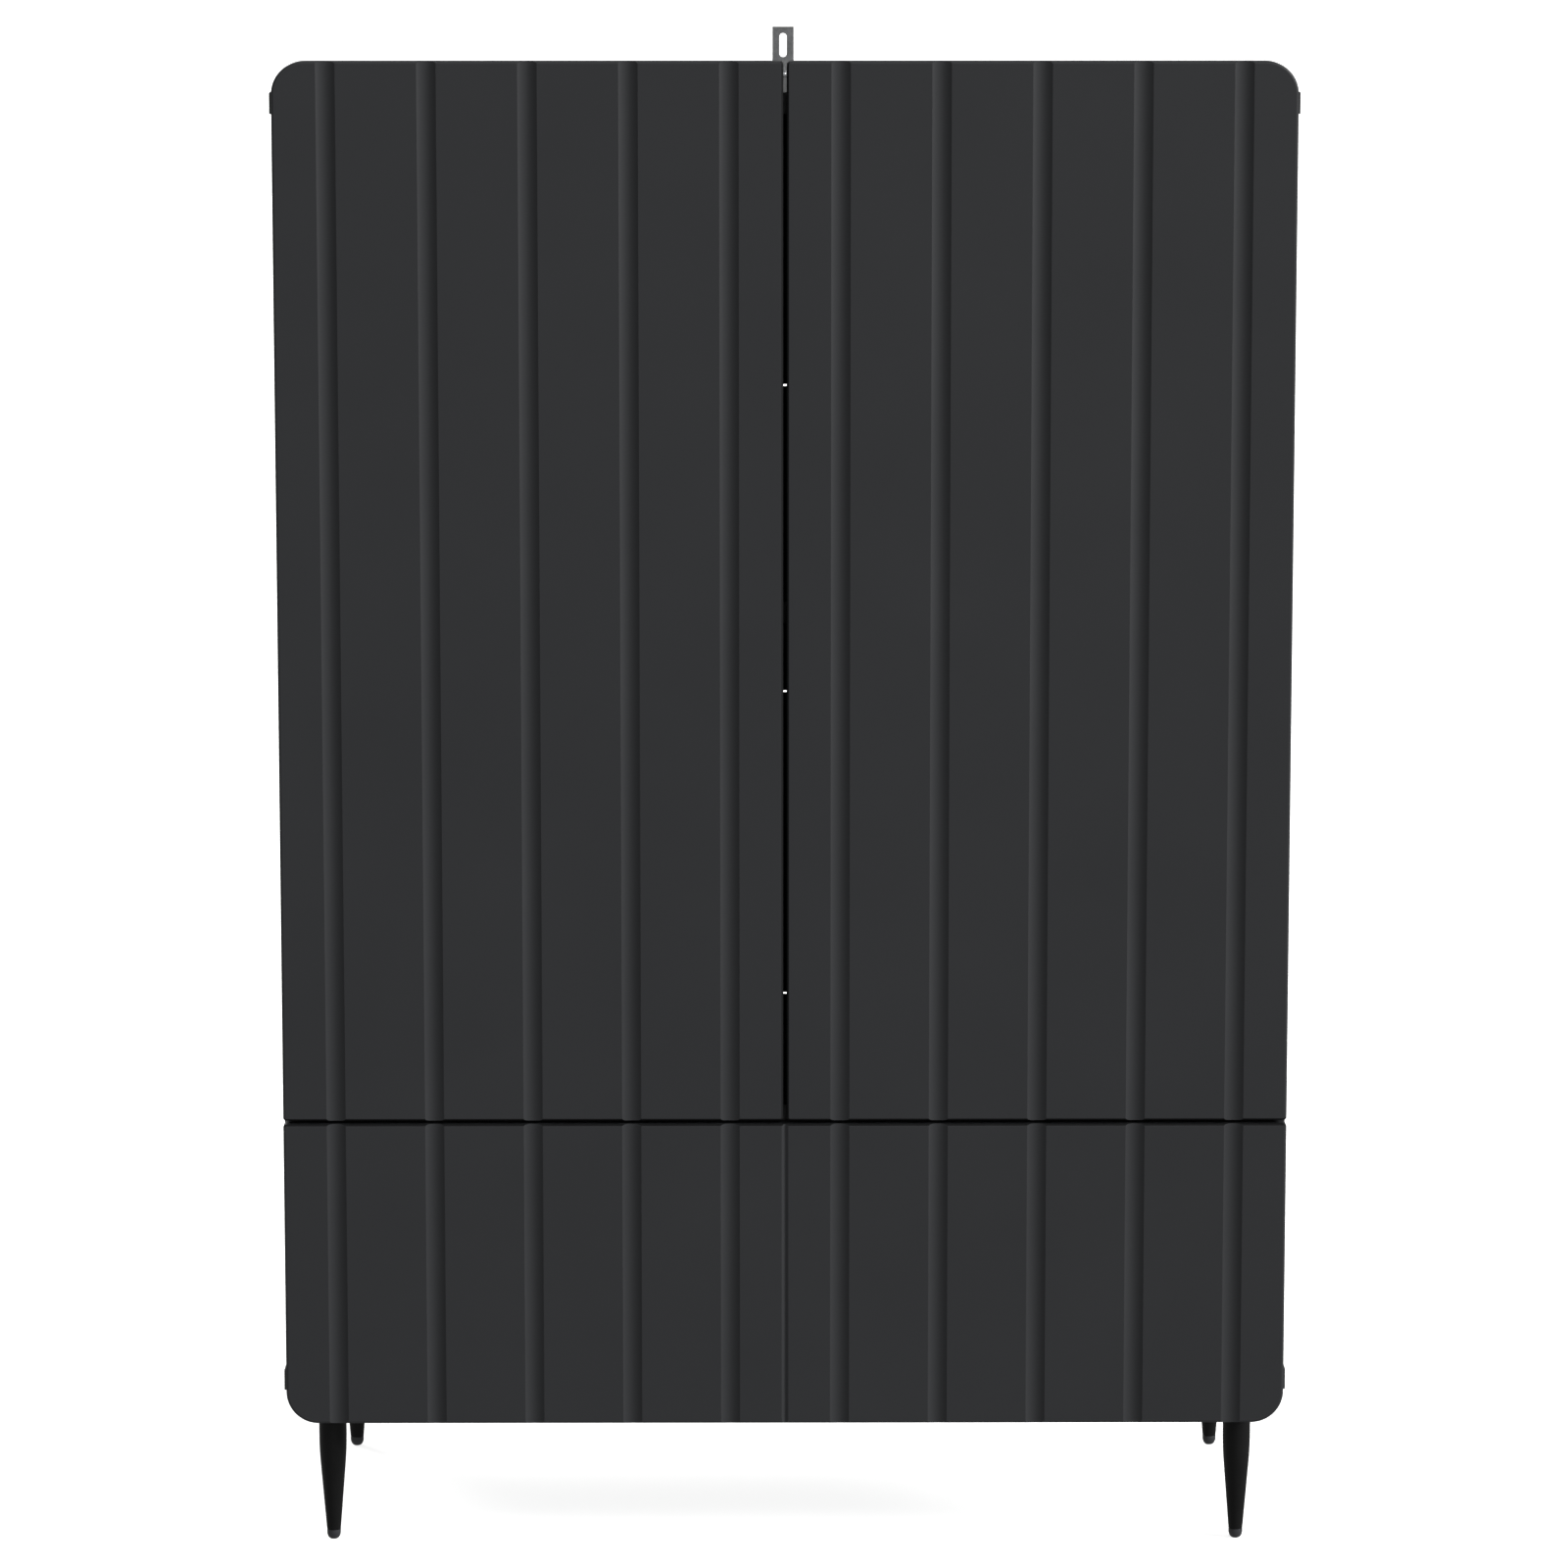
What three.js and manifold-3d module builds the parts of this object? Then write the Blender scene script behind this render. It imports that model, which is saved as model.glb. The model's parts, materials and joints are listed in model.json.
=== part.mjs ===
// Wardrobe with two fluted doors over one wide drawer, on four tapered legs.
// Millimetres, +Z up, front towards -Y. The origin is on the floor under the middle of the piece.
import * as THREE from 'three';
import { mergeVertices } from 'three/addons/utils/BufferGeometryUtils.js';
import Module from 'manifold-3d';

const wasm = await Module();
wasm.setup();

// ---- Driving dimensions -------------------------------------------------------------------

const CLEAR = 0.3; // gap where two pieces touch
const ROUND_STEPS = 24; // facets round a leg or a hinge cup
const GLIDE_STEPS = 16; // facets round a glide
const SMALL_STEPS = 12; // facets round a pin, a hole or a screw
const CORNER_STEP = 3; // longest facet, about, on a rounded corner

// Fronts: two doors and one drawer front that share one rounded outline.
const FRONT_WIDTH = 900;
const FRONT_THICK = 19;
const FRONT_RADIUS = 29; // outer corners of the shared outline
const MEETING_RADIUS = 3; // corners where two fronts meet
const FRONT_GAP = 3; // between two fronts
const EDGE_ROUND = 2.4; // rounded edge all round each front
const DRAWER_FRONT_HEIGHT = 275.5;
const DOOR_HEIGHT = 944.5;

// Flutes: shallow coves that run the full height of every front.
const FLUTE_WIDTH = 17.1;
const FLUTE_DEPTH = 2.3;
const FLUTE_PITCH = 88.3;
const FLUTES_PER_DOOR = 5;
const FLUTE_STEPS = 6;
const VEE_WIDTH = 6; // groove down the drawer front, in line with the gap between the doors
const VEE_DEPTH = 1.4;

// Carcass.
const DEPTH = 420; // front face of the fronts to the rear face of the back panels
const BOARD = 19; // thickness of every carcass board
const BOARD_OVERHANG = 3.2; // top and bottom boards past the outer faces of the sides
const TOP_LIP = 28; // the doors stand this far above the top board
const BOTTOM_LIP = 26; // the drawer front hangs this far below the bottom board
const FRONT_STANDOFF = 2; // between the back of the fronts and the carcass
const DIVIDER_LIFT = 2.5; // centre of the divider above the gap that it stands behind
const BACK_THICK = 3;
const BACK_STRIPS = 4;
const BACK_SEAM = 2; // open seam between two back panels

// Shelf and its pins.
const SHELF_RECESS = 20; // behind the front edge of the carcass
const SHELF_PLAY = 1.5; // at each end of the shelf
const PIN_RADIUS = 2.5;
const PIN_IN_SIDE = 8;
const PIN_OUT = 8;
const PIN_COLLAR_RADIUS = 3.6;
const PIN_COLLAR_THICK = 0.8;
const PIN_INSET = 45; // pins from the front and rear edges of the sides
const PIN_HOLES = 5; // in each row
const PIN_HOLE_PITCH = 32;

// Legs.
const LEG_HEIGHT = 144; // floor to the underside of the bottom board
const LEG_RADIUS = 12.5;
const LEG_TOE_RADIUS = 6.35;
const LEG_TAPER_TOP = 85; // the taper ends at this height
const LEG_INSET_X = 38.8; // leg centre in from the outer edge of the fronts
const LEG_INSET_Y = 42; // leg centre in from the front face and from the back
const GLIDE_HEIGHT = 8.7;
const GLIDE_SOLE_RADIUS = 3;
const GLIDE_CURVE_HEIGHT = 6.5; // of the curve from the sole up to the side
const GLIDE_STEM_RADIUS = 2;
const GLIDE_STEM = 12;
const STUD_RADIUS = 4;
const STUD_LENGTH = 10;
const LEG_PLATE_X = 60;
const LEG_PLATE_Y = 38;
const LEG_PLATE_THICK = 2.2;
const LEG_PLATE_CORNER = 4;
const LEG_PLATE_HOLE = 2.2; // screw holes
const LEG_PLATE_HOLE_INSET = 6;

// Wall bracket on top of the carcass.
const BRACKET_WIDTH = 20;
const BRACKET_RISE = 45.7;
const BRACKET_RUN = 42;
const BRACKET_THICK = 2;
const BRACKET_BEND = 4; // outer radius of the bend
const BRACKET_SLOT_WIDTH = 7;
const BRACKET_SLOT_LENGTH = 22.5;
const BRACKET_SLOT_TOP = 6; // slot below the upper end
const BRACKET_SCREWS_AT = [14, 32]; // forward from the rear face
const SCREW_RADIUS = 1.9;
const SCREW_LENGTH = 14;
const SCREW_HEAD_RADIUS = 4;
const SCREW_HEAD_HEIGHT = 2;

// Concealed hinges. u is measured in from the hung edge of the door, v into the door.
const HINGE_END_INSET = 90; // hinge centres from the ends of the door compartment
const CUP_U = 22.5;
const CUP_RADIUS = 17.5;
const CUP_DEPTH = 12.5;
const CUP_WALL = 1;
const CUP_FLANGE = 1;
const CUP_WING_REACH = 26;
const CUP_WING_WIDTH = 12;
const ARM_PIVOT = [30, 6]; // u, v of the pin between the arm and the link
const CUP_PIVOT = [11, 2]; // u, v of the pin between the link and the cup
const HINGE_PIN_RADIUS = 1.3;
const LINK_HALF_WIDTH = 4.9;
const LINK_THICK = 2.2;
const LINK_BOW = 3.5; // the link bows into the cup
const LINK_EYE_RADIUS = 2.6;
const CHEEK = 1.6; // thickness of each cheek beside the link
const ARM_NOSE_RADIUS = 3.4;
const ARM_THICK = 13;
const ARM_CHAMFER = 6; // at the rear of the arm
const EAR_HALF_WIDTH = 3; // ears in the cup that hold its pin
const EAR_MARGIN = 1.5; // metal beyond the pin in each ear
// Places along the hinge, behind the front edge of the carcass.
const FORK_END = 6; // of the slot between the cheeks
const CHEEKS_SPREAD = 8; // the cheeks reach the side here
const ARM_FULL = 12; // the arm reaches its full thickness here
const PLATE_START = 10;
const WINGS_AT = 37;
const ARM_BACK = 64; // end of the arm
const PLATE_PAST_ARM = 4; // the plate ends this far behind the arm
const PLATE_THICK = 4.2;
const PLATE_HALF_HEIGHT = 9;
const PLATE_WING_REACH = 25;
const PLATE_WING_THICK = 2.5;
const PLATE_WING_WIDTH = 14;

// Drawer box.
const DRAWER_BOARD = 15;
const DRAWER_BOX_HEIGHT = 160;
const DRAWER_BOX_SHORT = 4; // box shorter than its slides
const DRAWER_LIFT = 15; // box above the bottom board
const DRAWER_BOTTOM_THICK = 6;
const DRAWER_BOTTOM_LIFT = 12; // panel above the lower edge of the box sides
const DRAWER_GROOVE = 6; // depth of the grooves that hold the bottom panel

// Telescopic slides: three nested channels on each side of the drawer.
const SLIDE_LENGTH_STEP = 50; // slides come in lengths this far apart
const SLIDE_SPACE = 12.7; // between the side of the carcass and the drawer box
const SLIDE_HEIGHT = 45;
const SLIDE_METAL = 1.2;
const SLIDE_BALL_SPACE = 2.3; // between the flanges of two nested channels
const SLIDE_WEB_SPACE = 1.7; // behind the web of the middle channel and the lips of the inner one
const SLIDE_SETBACK = 1.85; // each channel stops this far short of the next one in
const SLIDE_CENTRE_LIFT = 45; // above the lower edge of the box sides
const SLIDE_FRONT_INSET = 2; // behind the front edge of the carcass

// ---- Finishes -----------------------------------------------------------------------------

const finish = (color, roughness, metalness) => ({ color, roughness, metalness });
const LACQUER = finish(0x333536, 0.5, 0);
const CARCASS_FOIL = finish(0x2b2c2d, 0.6, 0);
const BACK_FOIL = finish(0x2b2c2d, 0.7, 0);
const LEG_BLACK = finish(0x17181a, 0.5, 0.2);
const GLIDE_GREY = finish(0x55575a, 0.6, 0);
const STEEL = finish(0x9a9c9e, 0.35, 1);
const BLACK_STEEL = finish(0x1c1d1f, 0.5, 0.6);
const DRAWER_FOIL = finish(0x3a3b3c, 0.6, 0);

// ---- Derived places -----------------------------------------------------------------------

const frontY = -DEPTH / 2;
const frontBackY = frontY + FRONT_THICK;
const carcassFrontY = frontBackY + FRONT_STANDOFF;
const rearY = DEPTH / 2;
const carcassRearY = rearY - BACK_THICK - CLEAR;

const carcassZ0 = LEG_HEIGHT;
const frontZ0 = carcassZ0 - BOTTOM_LIP;
const drawerFrontTop = frontZ0 + DRAWER_FRONT_HEIGHT;
const doorZ0 = drawerFrontTop + FRONT_GAP;
const doorZ1 = doorZ0 + DOOR_HEIGHT;
const carcassZ1 = doorZ1 - TOP_LIP;

const sideOuterX = FRONT_WIDTH / 2;
const sideInnerX = sideOuterX - BOARD;
const boardEndX = sideOuterX + BOARD_OVERHANG;
const insideZ0 = carcassZ0 + BOARD;
const insideZ1 = carcassZ1 - BOARD;

const dividerZ0 = drawerFrontTop + FRONT_GAP / 2 + DIVIDER_LIFT - BOARD / 2;
const dividerZ1 = dividerZ0 + BOARD;
const shelfZ0 = (dividerZ1 + insideZ1 - BOARD) / 2;
const shelfPinZ = shelfZ0 - CLEAR - PIN_RADIUS;
const pinYs = [carcassFrontY + PIN_INSET, carcassRearY - PIN_INSET];

const legX = FRONT_WIDTH / 2 - LEG_INSET_X;
const legYs = [frontY + LEG_INSET_Y, rearY - LEG_INSET_Y];

const hingeZs = [dividerZ1 + HINGE_END_INSET, insideZ1 - HINGE_END_INSET];

const slideY0 = carcassFrontY + SLIDE_FRONT_INSET;
const slideLength = Math.floor((carcassRearY - slideY0) / SLIDE_LENGTH_STEP) * SLIDE_LENGTH_STEP;
const slideYs = [slideY0, slideY0 + slideLength];

const drawerOuterX = sideInnerX - SLIDE_SPACE;
const drawerInnerX = drawerOuterX - DRAWER_BOARD;
const drawerZ0 = insideZ0 + DRAWER_LIFT;
const drawerZ1 = drawerZ0 + DRAWER_BOX_HEIGHT;
const drawerFrontY = frontBackY + CLEAR;
const drawerRearY = drawerFrontY + slideLength - DRAWER_BOX_SHORT;
const drawerBottomZ = drawerZ0 + DRAWER_BOTTOM_LIFT;

// ---- Geometry helpers ---------------------------------------------------------------------

// A copy of a geometry with shared corners merged and only its positions left.
function bare(geometry) {
  const copy = geometry.clone();
  copy.deleteAttribute('normal');
  copy.deleteAttribute('uv');
  return mergeVertices(copy, 1e-4);
}

function solid(geometry) {
  const merged = bare(geometry);
  return new wasm.Manifold(new wasm.Mesh({
    numProp: 3,
    vertProperties: Float32Array.from(merged.attributes.position.array),
    triVerts: Uint32Array.from(merged.index.array),
  }));
}

function shell(manifold) {
  const { vertProperties, triVerts } = manifold.getMesh();
  const geometry = new THREE.BufferGeometry();
  geometry.setAttribute('position', new THREE.BufferAttribute(Float32Array.from(vertProperties), 3));
  geometry.setIndex(new THREE.BufferAttribute(Uint32Array.from(triVerts), 1));
  return geometry;
}

// The geometry that joins one list of geometries and cuts away another.
function shaped(joined, cut = []) {
  let body = joined.map(solid).reduce((sum, next) => sum.add(next));
  for (const tool of cut) body = body.subtract(solid(tool));
  return shell(body);
}

// The same shape on the other side of the wardrobe.
function mirrored(geometry) {
  const copy = bare(geometry);
  copy.scale(-1, 1, 1);
  const order = copy.index.array;
  for (let i = 0; i < order.length; i += 3) {
    [order[i], order[i + 1]] = [order[i + 1], order[i]];
  }
  return copy;
}

const onSide = (geometry, side) => (side < 0 ? geometry : mirrored(geometry));

function block([x0, x1], [y0, y1], [z0, z1]) {
  const box = new THREE.BoxGeometry(x1 - x0, y1 - y0, z1 - z0);
  return box.translate((x0 + x1) / 2, (y0 + y1) / 2, (z0 + z1) / 2);
}

// A round bar along one axis, centred on the two other coordinates.
function rod(axis, radius, [from, to], a, b, steps = SMALL_STEPS) {
  const bar = new THREE.CylinderGeometry(radius, radius, to - from, steps);
  const middle = (from + to) / 2;
  if (axis === 'x') return bar.rotateZ(Math.PI / 2).translate(middle, a, b);
  if (axis === 'y') return bar.translate(a, middle, b);
  return bar.rotateX(Math.PI / 2).translate(a, b, middle);
}

function polygon(points) {
  return new THREE.Shape(points.map(([x, y]) => new THREE.Vector2(x, y)));
}

// A flat outline in X and Y, raised from z0 to z1.
function raised(shape, [z0, z1], curveSegments = 4) {
  const geometry = new THREE.ExtrudeGeometry(shape, { depth: z1 - z0, bevelEnabled: false, curveSegments });
  return geometry.translate(0, 0, z0);
}

// An outline drawn in X and Z, carried along Y from y0 to y1.
function along(shape, [y0, y1], options = {}) {
  const geometry = new THREE.ExtrudeGeometry(shape, { depth: y1 - y0, bevelEnabled: false, ...options });
  return geometry.rotateX(Math.PI / 2).translate(0, y1, 0);
}

function lathe(points, steps = SMALL_STEPS) {
  const profile = points.map(([r, z]) => new THREE.Vector2(r, z));
  return new THREE.LatheGeometry(profile, steps).rotateX(Math.PI / 2);
}

// A rectangle with its own radius at each corner: lower left, lower right, upper right, upper left.
function roundedRect([x0, x1], [z0, z1], [ll, lr, ur, ul]) {
  const corners = [
    [x0 + ll, z0 + ll, ll], [x1 - lr, z0 + lr, lr],
    [x1 - ur, z1 - ur, ur], [x0 + ul, z1 - ul, ul],
  ];
  return polygon(corners.flatMap(([x, z, radius], quarter) => {
    const steps = Math.max(2, Math.round(radius / CORNER_STEP));
    return Array.from({ length: steps + 1 }, (_, i) => {
      const turn = (quarter + 2 + i / steps) * Math.PI / 2;
      return [x + radius * Math.cos(turn), z + radius * Math.sin(turn)];
    });
  }));
}

const wardrobe = new THREE.Group();

function piece(name, geometry, { color, roughness, metalness }, position = [0, 0, 0]) {
  const mesh = new THREE.Mesh(geometry, new THREE.MeshStandardMaterial({ color, roughness, metalness }));
  mesh.name = name;
  mesh.position.set(...position);
  wardrobe.add(mesh);
}

const SIDES = [['left', -1], ['right', 1]];

// ---- Fronts -------------------------------------------------------------------------------

// Plan outline of a front: flat back, coves and an optional vee across the face.
function frontPlan([x0, x1], fluteXs, veeX) {
  const halfAngle = 2 * Math.atan(2 * FLUTE_DEPTH / FLUTE_WIDTH);
  const coveRadius = FLUTE_WIDTH / 2 / Math.sin(halfAngle);
  const coveY = frontY + FLUTE_DEPTH - coveRadius;
  const stops = fluteXs.map((x) => ({ x, vee: false }));
  if (veeX !== undefined) stops.push({ x: veeX, vee: true });
  stops.sort((a, b) => a.x - b.x);

  const plan = new THREE.Shape();
  plan.moveTo(x0, frontY);
  for (const { x, vee } of stops) {
    const half = (vee ? VEE_WIDTH : FLUTE_WIDTH) / 2;
    plan.lineTo(x - half, frontY);
    if (vee) {
      plan.lineTo(x, frontY + VEE_DEPTH);
      plan.lineTo(x + half, frontY);
    } else {
      plan.absarc(x, coveY, coveRadius, Math.PI / 2 + halfAngle, Math.PI / 2 - halfAngle, true);
    }
  }
  plan.lineTo(x1, frontY);
  plan.lineTo(x1, frontBackY);
  plan.lineTo(x0, frontBackY);
  plan.closePath();
  return plan;
}

// A rounded panel with softened edges, with the coves of its plan outline.
function frontPanel(xs, zs, radii, fluteXs, veeX) {
  const panel = along(roundedRect(xs, zs, radii), [frontY + EDGE_ROUND, frontBackY - EDGE_ROUND], {
    bevelEnabled: true,
    bevelThickness: EDGE_ROUND,
    bevelSize: EDGE_ROUND,
    bevelOffset: -EDGE_ROUND,
    bevelSegments: 2,
  });
  return solid(panel).intersect(solid(raised(frontPlan(xs, fluteXs, veeX), zs, FLUTE_STEPS / 2)));
}

const doorCentreX = (FRONT_GAP / 2 + FRONT_WIDTH / 2) / 2;
const doorFlutes = Array.from({ length: FLUTES_PER_DOOR },
  (_, i) => -doorCentreX + (i - (FLUTES_PER_DOOR - 1) / 2) * FLUTE_PITCH);

function leftDoor() {
  const panel = frontPanel(
    [-FRONT_WIDTH / 2, -FRONT_GAP / 2],
    [doorZ0, doorZ1],
    [MEETING_RADIUS, MEETING_RADIUS, MEETING_RADIUS, FRONT_RADIUS],
    doorFlutes,
  );
  const pockets = hingeZs.map((z) => solid(
    rod('y', CUP_RADIUS, [frontBackY - CUP_DEPTH, frontBackY + 1], CUP_U - FRONT_WIDTH / 2, z, ROUND_STEPS),
  ));
  return shell(pockets.reduce((body, pocket) => body.subtract(pocket), panel));
}

for (const [side, sign] of SIDES) piece(`${side}_door`, onSide(leftDoor(), sign), LACQUER);

piece('drawer_front', shell(frontPanel(
  [-FRONT_WIDTH / 2, FRONT_WIDTH / 2],
  [frontZ0, drawerFrontTop],
  [FRONT_RADIUS, FRONT_RADIUS, MEETING_RADIUS, MEETING_RADIUS],
  [...doorFlutes, ...doorFlutes.map((x) => -x)],
  0,
)), LACQUER);

// ---- Carcass ------------------------------------------------------------------------------

const carcassY = [carcassFrontY, carcassRearY];

piece('top_board', shaped(
  [block([-boardEndX, boardEndX], carcassY, [insideZ1, carcassZ1])],
  BRACKET_SCREWS_AT.map((reach) => rod(
    'z', SCREW_RADIUS + CLEAR, [carcassZ1 - SCREW_LENGTH - CLEAR, carcassZ1 + 1], 0, rearY - reach,
  )),
), CARCASS_FOIL);

piece('bottom_board', shaped(
  [block([-boardEndX, boardEndX], carcassY, [carcassZ0, insideZ0])],
  SIDES.flatMap(([, sign]) => legYs.map((y) => rod(
    'z', STUD_RADIUS + CLEAR, [carcassZ0 - 1, carcassZ0 + STUD_LENGTH], sign * legX, y,
  ))),
), CARCASS_FOIL);

piece('divider_board', block(
  [-sideInnerX + CLEAR, sideInnerX - CLEAR], carcassY, [dividerZ0, dividerZ1],
), CARCASS_FOIL);

// Each side has two rows of shelf pin holes, centred on the shelf.
function leftSide() {
  const board = block(
    [-sideOuterX, -sideInnerX], carcassY, [insideZ0 + CLEAR, insideZ1 - CLEAR],
  );
  const holes = pinYs.flatMap((y) => Array.from({ length: PIN_HOLES }, (_, i) => rod(
    'x', PIN_RADIUS + CLEAR, [-sideInnerX - PIN_IN_SIDE - CLEAR, -sideInnerX + 1],
    y, shelfPinZ + (i - (PIN_HOLES - 1) / 2) * PIN_HOLE_PITCH,
  )));
  return shaped([board], holes);
}

for (const [side, sign] of SIDES) piece(`${side}_side`, onSide(leftSide(), sign), CARCASS_FOIL);

const stripHeight = (carcassZ1 - carcassZ0 - (BACK_STRIPS - 1) * BACK_SEAM) / BACK_STRIPS;
for (let i = 0; i < BACK_STRIPS; i += 1) {
  const z0 = carcassZ0 + i * (stripHeight + BACK_SEAM);
  piece(`back_panel_${i + 1}`, block(
    [-sideOuterX, sideOuterX], [rearY - BACK_THICK, rearY], [z0, z0 + stripHeight],
  ), BACK_FOIL);
}

// ---- Shelf --------------------------------------------------------------------------------

piece('shelf', block(
  [-sideInnerX + SHELF_PLAY, sideInnerX - SHELF_PLAY],
  [carcassFrontY + SHELF_RECESS, carcassRearY - CLEAR],
  [shelfZ0, shelfZ0 + BOARD],
), CARCASS_FOIL);

// Turned pin: shank in the side, collar against it, stub under the shelf.
function shelfPin(sign) {
  const stub = [[0, -PIN_IN_SIDE], [PIN_RADIUS, -PIN_IN_SIDE], [PIN_RADIUS, CLEAR],
    [PIN_COLLAR_RADIUS, CLEAR], [PIN_COLLAR_RADIUS, CLEAR + PIN_COLLAR_THICK],
    [PIN_RADIUS, CLEAR + PIN_COLLAR_THICK], [PIN_RADIUS, PIN_OUT], [0, PIN_OUT]];
  return lathe(stub).rotateY(-sign * Math.PI / 2);
}

const pinRows = [['front', pinYs[0]], ['rear', pinYs[1]]];
for (const [side, sign] of SIDES) {
  for (const [row, y] of pinRows) {
    piece(`shelf_pin_${side}_${row}`, shelfPin(sign), STEEL, [sign * sideInnerX, y, shelfPinZ]);
  }
}

// ---- Legs ---------------------------------------------------------------------------------

const legFoot = GLIDE_HEIGHT + CLEAR;
const plateZ1 = carcassZ0 - CLEAR;
const plateZ0 = plateZ1 - LEG_PLATE_THICK;
const legTop = plateZ0 - CLEAR;

const legProfile = [
  [0, legFoot + GLIDE_STEM + CLEAR],
  [GLIDE_STEM_RADIUS + CLEAR, legFoot + GLIDE_STEM + CLEAR],
  [GLIDE_STEM_RADIUS + CLEAR, legFoot],
  [LEG_TOE_RADIUS, legFoot],
  [LEG_RADIUS, LEG_TAPER_TOP],
  [LEG_RADIUS, legTop],
  [STUD_RADIUS, legTop],
  [STUD_RADIUS, carcassZ0 + STUD_LENGTH - CLEAR],
  [0, carcassZ0 + STUD_LENGTH - CLEAR],
];

// The glide's sole is flat, its edge turns up in a quarter ellipse.
function glideProfile() {
  const points = [[0, 0]];
  const steps = 4;
  for (let i = 0; i <= steps; i += 1) {
    const turn = (i / steps) * Math.PI / 2;
    points.push([
      GLIDE_SOLE_RADIUS + (LEG_TOE_RADIUS - GLIDE_SOLE_RADIUS) * Math.sin(turn),
      GLIDE_CURVE_HEIGHT * (1 - Math.cos(turn)),
    ]);
  }
  points.push([LEG_TOE_RADIUS, GLIDE_HEIGHT], [GLIDE_STEM_RADIUS, GLIDE_HEIGHT]);
  points.push([GLIDE_STEM_RADIUS, legFoot + GLIDE_STEM], [0, legFoot + GLIDE_STEM]);
  return points;
}

function legPlate() {
  const [halfX, halfY] = [LEG_PLATE_X / 2, LEG_PLATE_Y / 2];
  const corners = Array(4).fill(LEG_PLATE_CORNER);
  const plate = roundedRect([-halfX, halfX], [-halfY, halfY], corners);
  const hole = (x, y, radius) => new THREE.Path().absarc(x, y, radius, 0, 2 * Math.PI, true);
  plate.holes.push(hole(0, 0, STUD_RADIUS + CLEAR));
  for (const x of [-halfX + LEG_PLATE_HOLE_INSET, halfX - LEG_PLATE_HOLE_INSET]) {
    for (const y of [-halfY + LEG_PLATE_HOLE_INSET, halfY - LEG_PLATE_HOLE_INSET]) {
      plate.holes.push(hole(x, y, LEG_PLATE_HOLE));
    }
  }
  return raised(plate, [plateZ0, plateZ1]);
}

const legRows = [['front', legYs[0]], ['rear', legYs[1]]];
for (const [row, y] of legRows) {
  for (const [side, sign] of SIDES) {
    const foot = [sign * legX, y, 0];
    piece(`leg_${row}_${side}`, lathe(legProfile, ROUND_STEPS), LEG_BLACK, foot);
    piece(`leg_plate_${row}_${side}`, legPlate(), BLACK_STEEL, foot);
    piece(`glide_${row}_${side}`, lathe(glideProfile(), GLIDE_STEPS), GLIDE_GREY, foot);
  }
}

// ---- Wall bracket -------------------------------------------------------------------------

// Side view of the bent strip in Y and Z, turned so that it is extruded across X.
function wallBracket() {
  const z0 = carcassZ1 + CLEAR;
  const z1 = carcassZ1 + BRACKET_RISE;
  const inner = BRACKET_BEND - BRACKET_THICK;
  const bendY = rearY - BRACKET_BEND;
  const bendZ = z0 + BRACKET_BEND;
  const strip = new THREE.Shape();
  strip.moveTo(rearY - BRACKET_RUN, z0);
  strip.lineTo(bendY, z0);
  strip.absarc(bendY, bendZ, BRACKET_BEND, -Math.PI / 2, 0, false);
  strip.lineTo(rearY, z1);
  strip.lineTo(rearY - BRACKET_THICK, z1);
  strip.lineTo(rearY - BRACKET_THICK, bendZ);
  strip.absarc(bendY, bendZ, inner, 0, -Math.PI / 2, true);
  strip.lineTo(rearY - BRACKET_RUN, z0 + BRACKET_THICK);
  strip.closePath();
  const flat = raised(strip, [-BRACKET_WIDTH / 2, BRACKET_WIDTH / 2]);
  const bent = flat.rotateX(Math.PI / 2).rotateZ(Math.PI / 2);

  const half = BRACKET_SLOT_WIDTH / 2;
  const slotZ1 = z1 - BRACKET_SLOT_TOP;
  const slotZs = [slotZ1 - BRACKET_SLOT_LENGTH, slotZ1];
  const slotEnd = half - 0.01;
  const slot = along(
    roundedRect([-half, half], slotZs, [slotEnd, slotEnd, slotEnd, slotEnd]),
    [rearY - BRACKET_THICK - 1, rearY + 1],
  );
  const screwHoles = BRACKET_SCREWS_AT.map((reach) => rod(
    'z', SCREW_RADIUS + CLEAR, [z0 - 1, z0 + BRACKET_THICK + 1], 0, rearY - reach,
  ));
  return shaped([bent], [slot, ...screwHoles]);
}

piece('wall_bracket', wallBracket(), STEEL);

const screwSeat = carcassZ1 + CLEAR + BRACKET_THICK + CLEAR;
const screwProfile = [
  [0, carcassZ1 - SCREW_LENGTH],
  [SCREW_RADIUS, carcassZ1 - SCREW_LENGTH],
  [SCREW_RADIUS, screwSeat],
  [SCREW_HEAD_RADIUS, screwSeat],
  [SCREW_HEAD_RADIUS, screwSeat + SCREW_HEAD_HEIGHT * 0.4],
  [SCREW_HEAD_RADIUS * 0.7, screwSeat + SCREW_HEAD_HEIGHT],
  [0, screwSeat + SCREW_HEAD_HEIGHT],
];
BRACKET_SCREWS_AT.forEach((reach, i) => {
  piece(`bracket_screw_${i + 1}`, lathe(screwProfile), STEEL, [0, rearY - reach, 0]);
});

// ---- Concealed hinges ---------------------------------------------------------------------

// Place of a point given from the hung edge and the back of the left door.
const hingePlace = ([u, v]) => [u - FRONT_WIDTH / 2, frontBackY - v];
const [armPinX, armPinY] = hingePlace(ARM_PIVOT);
const [cupPinX, cupPinY] = hingePlace(CUP_PIVOT);
const cheekOut = LINK_HALF_WIDTH + CLEAR + CHEEK;

// Cross pin through both cheeks, a little short of their outer faces.
const hingePin = (x, y, radius, reach) => rod('z', radius, [-reach, reach], x, y, 8);

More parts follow.
